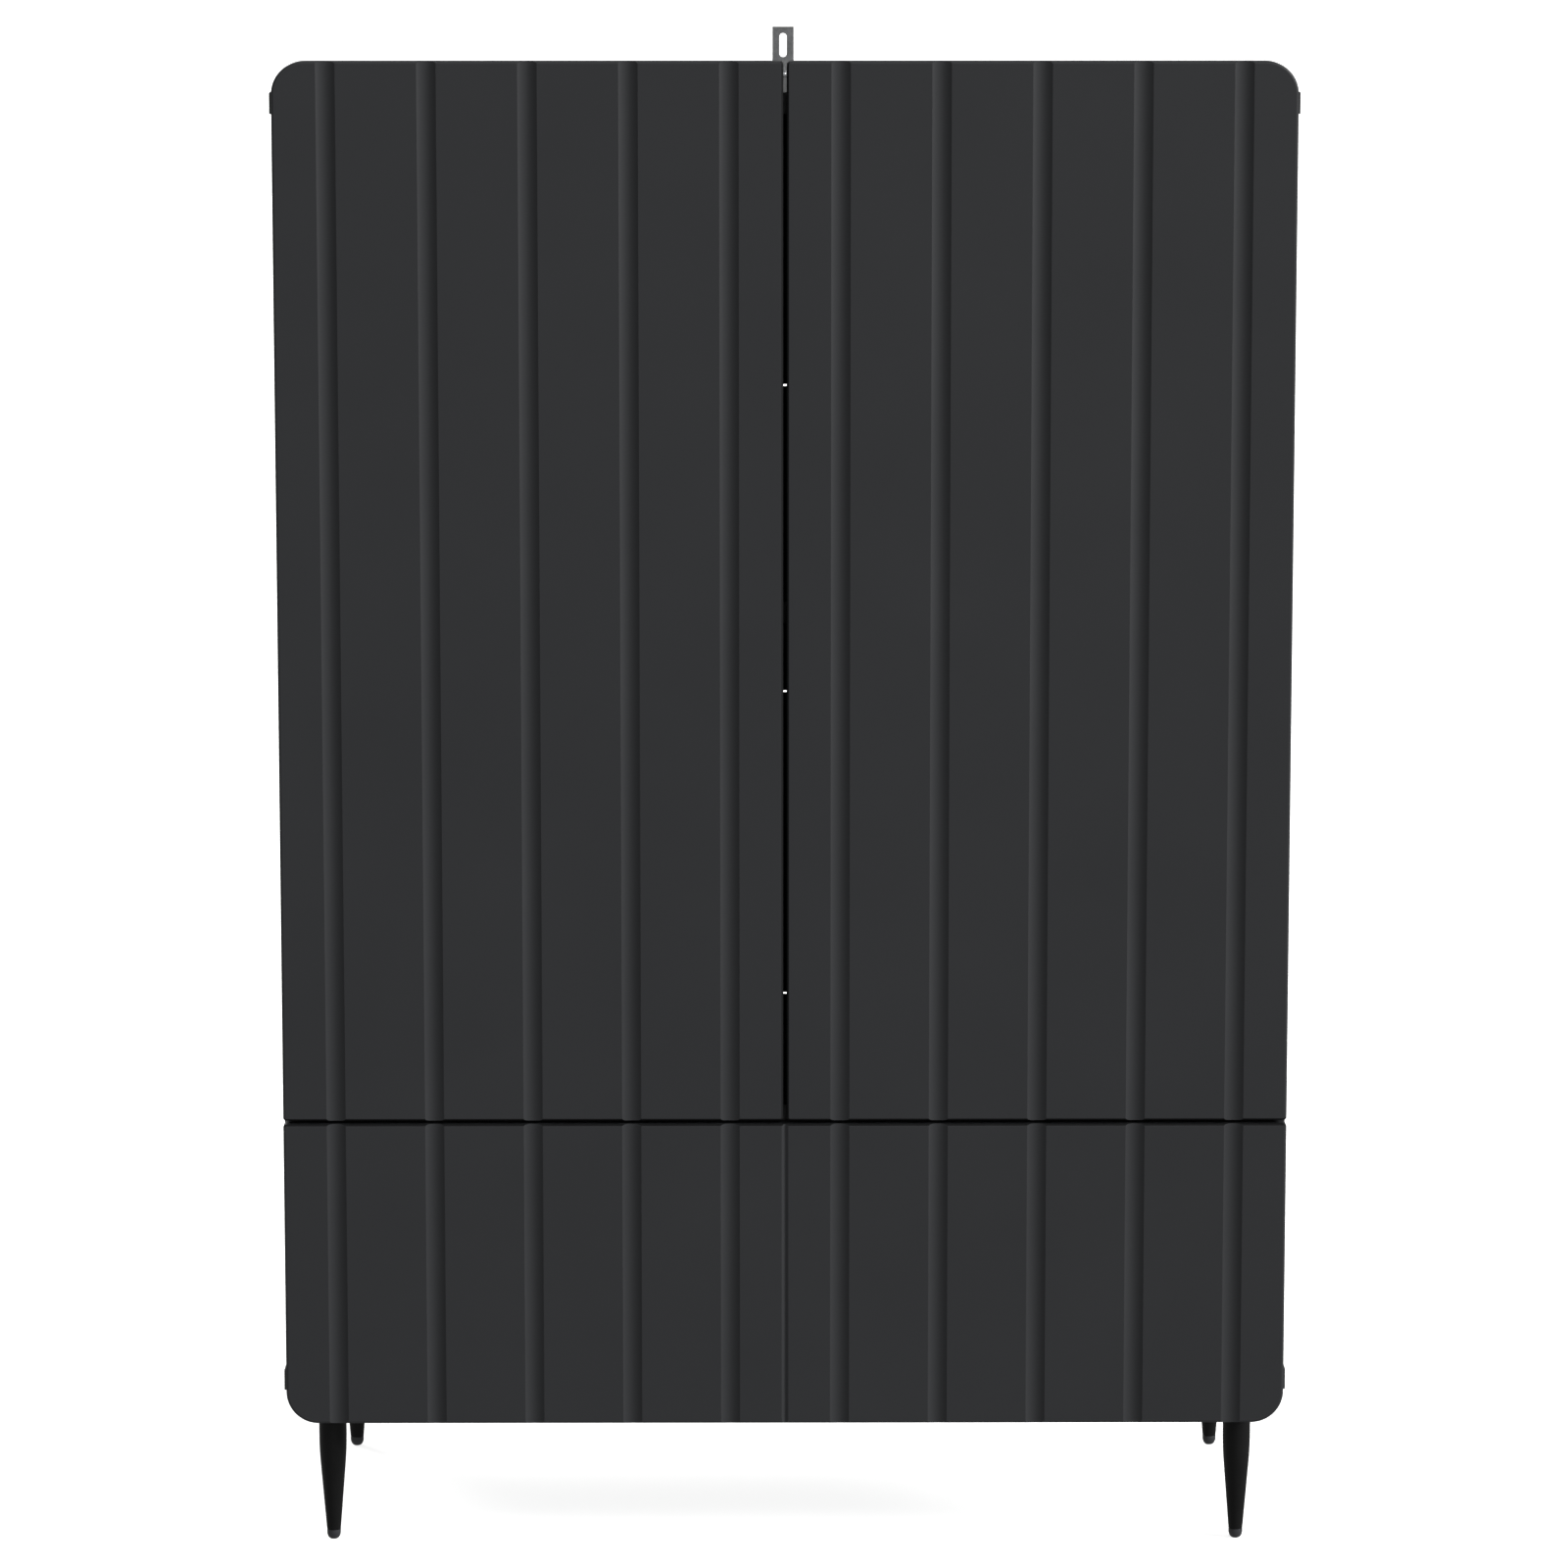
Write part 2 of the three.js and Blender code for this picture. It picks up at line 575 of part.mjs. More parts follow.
function hingeArm() {
  const plateX = -sideInnerX + CLEAR;
  const armX = plateX + PLATE_THICK;
  const rear = carcassFrontY + ARM_BACK;
  const plan = new THREE.Shape();
  plan.moveTo(armX - 1, rear);
  plan.lineTo(armX - 1, carcassFrontY + CHEEKS_SPREAD);
  plan.lineTo(armPinX - ARM_NOSE_RADIUS, armPinY + 5);
  plan.absarc(armPinX, armPinY, ARM_NOSE_RADIUS, Math.PI, 2 * Math.PI, false);
  plan.lineTo(armPinX + ARM_NOSE_RADIUS, armPinY + 7);
  plan.lineTo(armX + ARM_THICK - 1, carcassFrontY + ARM_FULL);
  plan.lineTo(armX + ARM_THICK - 1, rear - ARM_CHAMFER);
  plan.lineTo(armX + ARM_THICK - 4, rear);
  plan.closePath();
  const arm = raised(plan, [-cheekOut, cheekOut]);
  const plate = block(
    [plateX, armX],
    [carcassFrontY + PLATE_START, rear + PLATE_PAST_ARM],
    [-PLATE_HALF_HEIGHT, PLATE_HALF_HEIGHT],
  );
  const wingY = carcassFrontY + WINGS_AT;
  const wing = block(
    [plateX, plateX + PLATE_WING_THICK],
    [wingY - PLATE_WING_WIDTH / 2, wingY + PLATE_WING_WIDTH / 2],
    [-PLATE_WING_REACH, PLATE_WING_REACH],
  );
  const fork = block(
    [armPinX - 2 * ARM_THICK, armPinX + 2 * ARM_THICK],
    [armPinY - 2 * ARM_NOSE_RADIUS, carcassFrontY + FORK_END],
    [-LINK_HALF_WIDTH - CLEAR, LINK_HALF_WIDTH + CLEAR],
  );
  return shaped([arm, plate, wing],
    [fork, hingePin(armPinX, armPinY, HINGE_PIN_RADIUS + CLEAR, cheekOut + 1)]);
}

// Bowed strip between two eyes, with a cross pin through each eye.
function hingeLink() {
  const pins = [[cupPinX, cupPinY], [armPinX, armPinY]];
  const [dx, dy] = [armPinX - cupPinX, armPinY - cupPinY];
  const span = Math.hypot(dx, dy);
  const [ex, ey] = [dx / span, dy / span];
  const bowed = (t, offset) => {
    const bow = 4 * LINK_BOW * t * (1 - t) + offset;
    return [cupPinX + t * dx + bow * ey, cupPinY + t * dy - bow * ex];
  };
  const steps = 6;
  const ts = Array.from({ length: steps + 1 }, (_, i) => i / steps);
  const outline = [
    ...ts.map((t) => bowed(t, -LINK_THICK / 2)),
    ...ts.toReversed().map((t) => bowed(t, LINK_THICK / 2)),
  ];
  const width = [-LINK_HALF_WIDTH, LINK_HALF_WIDTH];
  const eyes = pins.map(([x, y]) => rod('z', LINK_EYE_RADIUS, width, x, y));
  const crossPins = pins.map(([x, y]) => hingePin(x, y, HINGE_PIN_RADIUS, cheekOut - CLEAR));
  return shaped([raised(polygon(outline), width), ...eyes, ...crossPins]);
}

function hingeCup() {
  const x = CUP_U - FRONT_WIDTH / 2;
  const radius = CUP_RADIUS - CLEAR;
  const floorY = frontBackY - CUP_DEPTH + CLEAR;
  const rimY = frontBackY + CLEAR + CUP_FLANGE;
  const outer = rod('y', radius, [floorY, rimY], x, 0, ROUND_STEPS);
  const wings = block(
    [x - CUP_WING_WIDTH / 2, x + CUP_WING_WIDTH / 2],
    [frontBackY + CLEAR, rimY],
    [-CUP_WING_REACH, CUP_WING_REACH],
  );
  const hollow = rod('y', radius - CUP_WALL, [floorY + CUP_WALL, rimY + 1], x, 0, ROUND_STEPS);
  const ears = [-1, 1].map((sign) => block(
    [cupPinX - EAR_HALF_WIDTH, cupPinX + EAR_HALF_WIDTH],
    [floorY + CUP_WALL / 2, cupPinY + HINGE_PIN_RADIUS + EAR_MARGIN],
    [sign * (cheekOut - CHEEK), sign * cheekOut].sort((a, b) => a - b),
  ));
  const cup = shaped([outer, wings], [hollow]);
  return shaped([cup, ...ears], [hingePin(cupPinX, cupPinY, HINGE_PIN_RADIUS + CLEAR, cheekOut + 1)]);
}

const hingeRows = [['lower', hingeZs[0]], ['upper', hingeZs[1]]];
for (const [side, sign] of SIDES) {
  for (const [row, z] of hingeRows) {
    piece(`hinge_arm_${side}_${row}`, onSide(hingeArm(), sign), STEEL, [0, 0, z]);
    piece(`hinge_link_${side}_${row}`, onSide(hingeLink(), sign), STEEL, [0, 0, z]);
    piece(`hinge_cup_${side}_${row}`, onSide(hingeCup(), sign), STEEL, [0, 0, z]);
  }
}

// ---- Drawer box ---------------------------------------------------------------------------

const grooveZs = [drawerBottomZ - CLEAR, drawerBottomZ + DRAWER_BOTTOM_THICK + CLEAR];

function leftDrawerSide() {
  const board = block([-drawerOuterX, -drawerInnerX], [drawerFrontY, drawerRearY], [drawerZ0, drawerZ1]);
  const groove = block(
    [-drawerInnerX - DRAWER_GROOVE, -drawerInnerX + 1], [drawerFrontY - 1, drawerRearY + 1], grooveZs,
  );
  return shaped([board], [groove]);
}

for (const [side, sign] of SIDES) {
  piece(`drawer_side_${side}`, onSide(leftDrawerSide(), sign), DRAWER_FOIL);
}

piece('drawer_back', block(
  [-drawerInnerX + CLEAR, drawerInnerX - CLEAR],
  [drawerRearY - DRAWER_BOARD, drawerRearY],
  [grooveZs[1], drawerZ1],
), DRAWER_FOIL);

const bottomHalf = drawerInnerX + DRAWER_GROOVE - CLEAR;
piece('drawer_bottom', block(
  [-bottomHalf, bottomHalf], [drawerFrontY, drawerRearY], [grooveZs[0] + CLEAR, grooveZs[1] - CLEAR],
), DRAWER_FOIL);

// ---- Telescopic slides --------------------------------------------------------------------

// Channel section in X and Z: a web at one end of its width, a flange at top and bottom.
function channel(webX, openX, halfHeight) {
  const inward = Math.sign(openX - webX) * SLIDE_METAL;
  const inner = halfHeight - SLIDE_METAL;
  return polygon([
    [webX, -halfHeight], [openX, -halfHeight], [openX, -inner], [webX + inward, -inner],
    [webX + inward, inner], [openX, inner], [openX, halfHeight], [webX, halfHeight],
  ]);
}

const slideZ = drawerZ0 + SLIDE_CENTRE_LIFT;
const nested = (level) => SLIDE_HEIGHT / 2 - level * (SLIDE_METAL + SLIDE_BALL_SPACE);
const middleWebX = CLEAR + SLIDE_METAL + SLIDE_WEB_SPACE;
const slideMembers = [
  ['outer', channel(CLEAR, SLIDE_SPACE - 2 * SLIDE_SETBACK, nested(0))],
  ['middle', channel(middleWebX, SLIDE_SPACE - SLIDE_SETBACK, nested(1))],
  ['inner', channel(SLIDE_SPACE - CLEAR, middleWebX + SLIDE_METAL + SLIDE_WEB_SPACE, nested(2))],
];
for (const [side, sign] of SIDES) {
  for (const [member, section] of slideMembers) {
    const rail = along(section, slideYs).translate(-sideInnerX, 0, 0);
    piece(`slide_${member}_${side}`, onSide(rail, sign), STEEL, [0, 0, slideZ]);
  }
}

export default wardrobe;
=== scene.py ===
import json
import logging
import math
from collections.abc import Callable, Iterable, Sequence
from dataclasses import dataclass, field
from enum import Enum

import bmesh
import bpy
from mathutils import Matrix, Vector


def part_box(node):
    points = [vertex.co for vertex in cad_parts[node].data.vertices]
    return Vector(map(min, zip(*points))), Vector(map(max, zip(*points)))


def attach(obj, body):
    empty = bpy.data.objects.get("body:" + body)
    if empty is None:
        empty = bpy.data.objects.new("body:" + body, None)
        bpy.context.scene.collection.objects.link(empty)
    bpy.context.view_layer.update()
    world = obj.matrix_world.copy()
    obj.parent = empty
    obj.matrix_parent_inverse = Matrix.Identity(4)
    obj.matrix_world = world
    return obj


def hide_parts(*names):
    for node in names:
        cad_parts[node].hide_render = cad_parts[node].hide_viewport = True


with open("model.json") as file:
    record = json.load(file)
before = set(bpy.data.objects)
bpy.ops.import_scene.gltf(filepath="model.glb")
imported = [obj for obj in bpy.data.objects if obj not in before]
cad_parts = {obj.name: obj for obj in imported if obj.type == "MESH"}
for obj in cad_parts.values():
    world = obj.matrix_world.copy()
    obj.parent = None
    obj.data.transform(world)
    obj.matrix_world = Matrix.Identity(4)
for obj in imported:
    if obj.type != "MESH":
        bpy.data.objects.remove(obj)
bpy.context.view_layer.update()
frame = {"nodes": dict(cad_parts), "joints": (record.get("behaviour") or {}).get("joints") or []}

MM = 0.001
LOG = logging.getLogger("wardrobe")
SAME = 0.01 * MM  # points closer than this count as one
PAST = 1.0 * MM  # how far a cutter runs past the face that it cuts

Mesh = bmesh.types.BMesh
Edge = bmesh.types.BMEdge
Outline = list[tuple[float, float]]


class Word(Enum):
    """A choice whose name is a part of its pieces' names."""

    def __str__(self) -> str:
        """Returns the name in small letters."""
        return self.name.lower()


class Side(Word):
    """A side of the wardrobe, with the sign of its X."""

    LEFT = -1
    RIGHT = 1


class Row(Word):
    """A row of legs or shelf pins, counted from the fronts."""

    FRONT = 1
    REAR = 2


class Level(Word):
    """The place of a hinge on its door, counted from below."""

    LOWER = 1
    UPPER = 2


class Member(Word):
    """A channel of a slide, with the body that it belongs to."""

    OUTER = "carcass"
    MIDDLE = "drawer_slide_middles"
    INNER = "drawer"


class Operation(Enum):
    """What other meshes do to a body, by the modifier's name for it."""

    CUT = "DIFFERENCE"
    JOIN = "UNION"


# ---- Finishes ---------------------------------------------------------------------------------


def linear(hex_colour: str) -> tuple[float, float, float, float]:
    """Turns an sRGB hex colour into linear RGBA."""
    channels = (int(hex_colour[i:i + 2], 16) / 255 for i in (1, 3, 5))
    return (*(c / 12.92 if c <= 0.04045 else ((c + 0.055) / 1.055) ** 2.4 for c in channels), 1.0)


def add_node(tree: bpy.types.NodeTree, kind: str, settings: dict | None = None,
             inputs: dict | None = None) -> bpy.types.Node:
    """Adds a node to a tree.

    Args:
        tree: The tree that the node joins.
        kind: The node's type name.
        settings: Attributes to set on the node.
        inputs: Value, or output socket to link from, for each input.

    Returns:
        The new node.
    """
    node = tree.nodes.new(kind)
    for key, value in (settings or {}).items():
        setattr(node, key, value)
    for key, value in (inputs or {}).items():
        if isinstance(value, bpy.types.NodeSocket):
            tree.links.new(value, node.inputs[key])
        else:
            node.inputs[key].default_value = value
    return node


class Grain(Enum):
    """The texture that a finish's fine relief is drawn from, and the output that carries it."""

    NOISE = ("ShaderNodeTexNoise", "Fac")
    SPANGLE = ("ShaderNodeTexVoronoi", "Distance")


@dataclass(frozen=True)
class Finish:
    """A surface finish: two close colours, a fine relief and a slow mottle."""

    name: str  # the material's name
    colour: str  # darker sRGB hex colour
    tint: str  # lighter sRGB hex colour that the mottle and the relief bring in
    roughness: tuple[float, float]  # roughness at the low and the high end of the mottle
    metallic: float = 0.0  # 1 on bare metal
    specular: float = 0.5  # level of the plain reflection
    grain: Grain = Grain.NOISE  # texture of the relief
    grain_mm: tuple[float, float, float] = (1.0, 1.0, 1.0)  # size of the relief along X, Y and Z
    relief_mm: float = 0.01  # height of the relief
    mottle_mm: float = 80.0  # size of the slow variation
    grain_share: float = 0.3  # part of the colour change that follows the relief

    def material(self) -> bpy.types.Material:
        """Returns the material, made on first use."""
        return bpy.data.materials.get(self.name) or self._make()

    def _make(self) -> bpy.types.Material:
        """Builds the node tree: relief, mottle, colour, roughness and bump.

        Returns:
            The new material.
        """
        least, most = 0.3, 0.7  # the part of the textures' range that the colours and gloss span
        material = bpy.data.materials.new(self.name)
        material.use_nodes = True
        tree = material.node_tree
        tree.nodes.clear()
        coords = add_node(tree, "ShaderNodeTexCoord").outputs["Object"]
        stretch = add_node(tree, "ShaderNodeMapping", inputs={
            "Vector": coords, "Scale": [1 / (size * MM) for size in self.grain_mm],
        })
        kind, output = self.grain.value
        grain = add_node(tree, kind, inputs={"Vector": stretch.outputs[0], "Scale": 1.0}).outputs[output]
        mottle = add_node(tree, "ShaderNodeTexNoise", inputs={
            "Vector": coords, "Scale": 1 / (self.mottle_mm * MM), "Detail": 4.0, "Roughness": 0.6,
        }).outputs["Fac"]
        slow = add_node(tree, "ShaderNodeMath", {"operation": "MULTIPLY"}, {
            0: mottle, 1: 1 - self.grain_share,
        })
        blend = add_node(tree, "ShaderNodeMath", {"operation": "MULTIPLY_ADD"}, {
            0: grain, 1: self.grain_share, 2: slow.outputs[0],
        }).outputs[0]
        ramp = add_node(tree, "ShaderNodeValToRGB", inputs={"Fac": blend})
        stops = zip(ramp.color_ramp.elements, (least, most), (self.colour, self.tint))
        for stop, position, colour in stops:
            stop.position = position
            stop.color = linear(colour)
        low, high = self.roughness
        gloss = add_node(tree, "ShaderNodeMapRange", inputs={
            "Value": blend, "From Min": least, "From Max": most, "To Min": low, "To Max": high,
        })
        bump = add_node(tree, "ShaderNodeBump", inputs={
            "Height": grain, "Strength": 1.0, "Distance": self.relief_mm * MM,
        })
        shader = add_node(tree, "ShaderNodeBsdfPrincipled", inputs={
            "Base Color": ramp.outputs["Color"], "Roughness": gloss.outputs[0],
            "Normal": bump.outputs[0], "Metallic": self.metallic,
            "Specular IOR Level": self.specular,
        })
        add_node(tree, "ShaderNodeOutputMaterial", inputs={"Surface": shader.outputs[0]})
        return material


# Catalysed lacquer sprayed on MDF: a silky matt grey with a faint orange peel.
SPRAYED_LACQUER = Finish("sprayed_matt_lacquer", "#27282a", "#292a2c", (0.5, 0.56), specular=0.3,
                         grain_mm=(1.6, 1.6, 1.6), relief_mm=0.006, mottle_mm=160, grain_share=0.2)
# The same lacquer, made much darker on the rounded edges that face another front: painted shade for the
# narrow gap between fronts.
GAP_SHADE_LACQUER = Finish("thin_lacquer_on_meeting_edges", "#0d0d0e", "#101112", (0.6, 0.68), specular=0.15,
                      grain_mm=(1.6, 1.6, 1.6), relief_mm=0.006, mottle_mm=60, grain_share=0.2)
# Melamine foil pressed on particleboard: even and dry, with fine pores that run along the board.
MELAMINE_FOIL = Finish("pressed_melamine_foil", "#2a2b2c", "#2f3031", (0.55, 0.66), specular=0.35,
                       grain_mm=(9.0, 0.7, 0.7), relief_mm=0.012, mottle_mm=120, grain_share=0.45)
# The same foil on upright boards, so that its pores run up and down.
UPRIGHT_FOIL = Finish("pressed_melamine_foil_upright", "#2a2b2c", "#2f3031", (0.55, 0.66), specular=0.35,
                      grain_mm=(0.7, 0.7, 9.0), relief_mm=0.012, mottle_mm=120, grain_share=0.45)
# Extruded ABS edge band: a little smoother and brighter than the foil it borders.
ABS_EDGE = Finish("extruded_abs_edge_band", "#2d2e2f", "#313233", (0.42, 0.5), specular=0.4,
                  grain_mm=(0.9, 0.9, 0.9), relief_mm=0.004, mottle_mm=40, grain_share=0.3)
# Printed hardboard: matt, with short felted fibres.
HARDBOARD = Finish("printed_hardboard", "#2c2c2d", "#353535", (0.7, 0.85), specular=0.25,
                   grain_mm=(2.6, 0.6, 0.6), relief_mm=0.03, mottle_mm=50, grain_share=0.5)
# Black lacquer on turned beech: soft sheen over faint long pores.
LACQUERED_BEECH = Finish("black_lacquered_beech", "#060606", "#0a0a0a", (0.42, 0.52), specular=0.2,
                         grain_mm=(0.5, 0.5, 7.0), relief_mm=0.012, mottle_mm=25, grain_share=0.5)
# Injection-moulded polyethylene glide: waxy mid grey.
MOULDED_GLIDE = Finish("moulded_polyethylene", "#26272a", "#303134", (0.3, 0.4), specular=0.5,
                       grain_mm=(0.6, 0.6, 0.6), relief_mm=0.01, mottle_mm=6, grain_share=0.4)
# Galvanised steel strip: pale grey with soft spangle.
GALVANISED_STRIP = Finish("galvanised_steel_strip", "#8b8c8d", "#9c9d9e", (0.34, 0.42), metallic=1.0,
                          grain=Grain.SPANGLE, grain_mm=(1.6, 1.6, 1.6), relief_mm=0.002, mottle_mm=9,
                          grain_share=0.4)
# Zinc-plated screw: brighter and tighter than the strip.
ZINC_SCREW = Finish("zinc_plated_screw", "#8a8c8e", "#a6a8aa", (0.25, 0.38), metallic=1.0,
                    grain_mm=(0.4, 0.4, 0.4), relief_mm=0.004, mottle_mm=3)
# Rolled steel of the slides: long draw lines from front to back.
ROLLED_STEEL = Finish("rolled_zinc_steel", "#85878a", "#a9abad", (0.26, 0.42), metallic=1.0,
                      grain_mm=(0.4, 60.0, 0.4), relief_mm=0.002, mottle_mm=30, grain_share=0.5)
# Nickel-plated pressings of the hinges: warm bright grey, faint pressing marks.
NICKEL_PRESSING = Finish("nickel_plated_pressing", "#9b9892", "#b9b6b0", (0.2, 0.32), metallic=1.0,
                         grain_mm=(0.8, 0.8, 0.8), relief_mm=0.004, mottle_mm=9)
# Die-cast zinc of the cam locks: dull grey with a cast skin.
CAST_ZINC = Finish("die_cast_zinc", "#7c7e80", "#929496", (0.4, 0.52), metallic=1.0,
                   grain_mm=(0.9, 0.9, 0.9), relief_mm=0.01, mottle_mm=5)
# Powder coat on the leg plates: black with a fine pebble.
POWDER_COAT = Finish("black_powder_coat", "#0f0f10", "#161617", (0.45, 0.6), specular=0.45,
                     grain_mm=(0.7, 0.7, 0.7), relief_mm=0.02, mottle_mm=15, grain_share=0.5)


# ---- Mesh tools -------------------------------------------------------------------------------


def bevelled(bm: Mesh, edges: Iterable[Edge], radius: float,
             segments: int = 2) -> None:
    """Rounds some edges of a mesh.

    Args:
        bm: The mesh.
        edges: Edges to round.
        radius: Radius in metres.
        segments: Facets across the round.
    """
    bmesh.ops.bevel(bm, geom=list(edges), offset=radius, offset_type="OFFSET", segments=segments,
                    profile=0.5, affect="EDGES", clamp_overlap=False, material=-1)


def block(low: Sequence[float], high: Sequence[float], radius: float = 0.0,
          segments: int = 2) -> Mesh:
    """Makes a block.

    Args:
        low: Lowest corner.
        high: Highest corner.
        radius: Rounding of its edges, in metres.
        segments: Facets across the round.

    Returns:
        The block.
    """
    bm = bmesh.new()
    bmesh.ops.create_cube(bm, size=1.0)
    size = Vector(high) - Vector(low)
    middle = (Vector(high) + Vector(low)) / 2
    bm.transform(Matrix.Translation(middle) @ Matrix.Diagonal((*size, 1.0)))
    if radius:
        bevelled(bm, bm.edges[:], radius, segments)
    return bm


def rod(start: Sequence[float], end: Sequence[float], radius: float, steps: int = 32) -> Mesh:
    """Makes a round bar for cutting and joining.

    Args:
        start: Middle of one end.
        end: Middle of the other end.
        radius: Radius in metres.
        steps: Facets round the bar.

    Returns:
        The bar.
    """
    start, end = Vector(start), Vector(end)
    run = end - start
    bm = bmesh.new()
    bmesh.ops.create_cone(bm, cap_ends=True, segments=steps, radius1=radius, radius2=radius,
                          depth=run.length)
    turn = run.to_track_quat("Z", "Y").to_matrix().to_4x4()
    bm.transform(Matrix.Translation((start + end) / 2) @ turn)
    return bm


def turned(profile: Sequence[tuple[float, float]], place: Matrix, steps: int = 48) -> Mesh:
    """Spins a profile into a round piece.

    Args:
        profile: Radius and height of each point, in metres, from axis to axis.
        place: Where the piece's own axis and origin go.
        steps: Facets round the full turn.

    Returns:
        The closed mesh.
    """
    bm = bmesh.new()
    verts = [bm.verts.new((r, 0.0, z)) for r, z in profile]
    edges = [bm.edges.new(pair) for pair in zip(verts, verts[1:])]
    bmesh.ops.spin(bm, geom=verts + edges, cent=(0, 0, 0), axis=(0, 0, 1), dvec=(0, 0, 0),
                   angle=math.tau, steps=steps, use_merge=True, use_duplicate=False)
    bmesh.ops.remove_doubles(bm, verts=bm.verts[:], dist=1e-6)
    bmesh.ops.recalc_face_normals(bm, faces=bm.faces[:])
    bm.transform(place)
    return bm


def prism(outline: Sequence[Sequence[float]], run: Sequence[float]) -> Mesh:
    """Carries a flat outline along a vector.

    Args:
        outline: Points of the outline.
        run: The vector.

    Returns:
        The closed solid.
    """
    bm = bmesh.new()
    face = bm.faces.new([bm.verts.new(point) for point in outline])
    swept = bmesh.ops.extrude_face_region(bm, geom=[face])["geom"]
    bmesh.ops.translate(bm, vec=run, verts=[v for v in swept if isinstance(v, bmesh.types.BMVert)])
    bmesh.ops.recalc_face_normals(bm, faces=bm.faces[:])
    return bm


def arc(centre: tuple[float, float], radius: float, start: float, end: float,
        steps: int) -> Outline:
    """Returns points on an arc between two angles in degrees."""
    turns = (math.radians(start + (end - start) * i / steps) for i in range(steps + 1))
    return [(centre[0] + radius * math.cos(t), centre[1] + radius * math.sin(t)) for t in turns]


def gathered(parts: Iterable[Mesh]) -> Mesh:
    """Puts several meshes into one.

    Args:
        parts: The meshes. They are freed.

    Returns:
        The mesh that holds them all.
    """
    whole = bmesh.new()
    for part in parts:
        scratch = bpy.data.meshes.new("scratch")
        part.to_mesh(scratch)
        part.free()
        whole.from_mesh(scratch)
        bpy.data.meshes.remove(scratch)
    return whole


def combined(body: Mesh, others: Sequence[Mesh],
             operation: Operation = Operation.CUT) -> Mesh:
    """Cuts other meshes out of a body, or joins them to it.

    Args:
        body: The mesh that is worked on.
        others: Cutters or additions.
        operation: Whether they are cut out or joined on.

    Returns:
        The resulting mesh. The inputs are freed.
    """
    objects = []
    for bm in (body, gathered(others)):
        mesh = bpy.data.meshes.new("scratch")
        bm.to_mesh(mesh)
        bm.free()
        objects.append(bpy.data.objects.new("scratch", mesh))
        bpy.context.scene.collection.objects.link(objects[-1])
    worked, tool = objects
    modifier = worked.modifiers.new("combine", "BOOLEAN")
    modifier.operation = operation.value
    modifier.solver = "EXACT"
    modifier.use_self = True
    modifier.object = tool
    evaluated = worked.evaluated_get(bpy.context.evaluated_depsgraph_get())
    result = bmesh.new()
    result.from_mesh(evaluated.data)
    for scratch in objects:
        mesh = scratch.data
        bpy.data.objects.remove(scratch)
        bpy.data.meshes.remove(mesh)
    bmesh.ops.remove_doubles(result, verts=result.verts[:], dist=1e-6)
    return result


def edges_between(bm: Mesh, test: Callable[[Vector], bool]) -> list[Edge]:
    """Returns the edges whose two ends both pass a test."""
    return [edge for edge in bm.edges if all(test(vert.co) for vert in edge.verts)]


def creases(bm: Mesh, degrees: float) -> list[Edge]:
    """Returns the edges where two faces turn by more than an angle."""
    return [e for e in bm.edges if e.is_manifold and e.calc_face_angle(0.0) > math.radians(degrees)]


def mirrored(bm: Mesh, side: Side) -> Mesh:
    """Fits a piece modelled for the left side to either side.

    Args:
        bm: The piece. It is changed in place.
        side: The side that it is for.

    Returns:
        The mesh, mirrored in X for the right side.
    """
    if side is Side.RIGHT:
        bm.transform(Matrix.Scale(-1, 4, (1, 0, 0)))
        bmesh.ops.recalc_face_normals(bm, faces=bm.faces[:])
    return bm


@dataclass
class Piece:
    """A finished piece of the wardrobe."""

    name: str  # the object's name
    body: str  # CAD body that it rides on
    slot: str  # material slot of the record
    finishes: tuple[Finish, ...]  # finishes, in the order of the faces' material numbers
    stands_for: tuple[str, ...] = ()  # CAD nodes that it replaces

    @classmethod
    def zinc(cls, name: str, body: str, *stands_for: str) -> "Piece":
        """Returns a zinc-plated piece, such as a set of screws."""
        return cls(name, body, "zinc_steel", (ZINC_SCREW,), stands_for)

    def place(self, bm: Mesh, crease: float = 28.0) -> bpy.types.Object:
        """Turns a mesh into the piece.

        Args:
            bm: The mesh in its place. It is freed.
            crease: Edges that turn by more than this many degrees stay sharp.

        Returns:
            The new object, riding on its body.
        """
        for face in bm.faces:
            face.smooth = True
        for edge in creases(bm, crease):
            edge.smooth = False
        mesh = bpy.data.meshes.new(self.name)
        bm.to_mesh(mesh)
        bm.free()
        for finish in self.finishes:
            mesh.materials.append(finish.material())
        piece = bpy.data.objects.new(self.name, mesh)
        bpy.context.scene.collection.objects.link(piece)
        normals = piece.modifiers.new("flat_faces_stay_flat", "WEIGHTED_NORMAL")
        normals.keep_sharp = True
        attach(piece, self.body)
        if self.stands_for:
            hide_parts(*self.stands_for)
        LOG.info("%s: %d faces", self.name, len(mesh.polygons))
        return piece


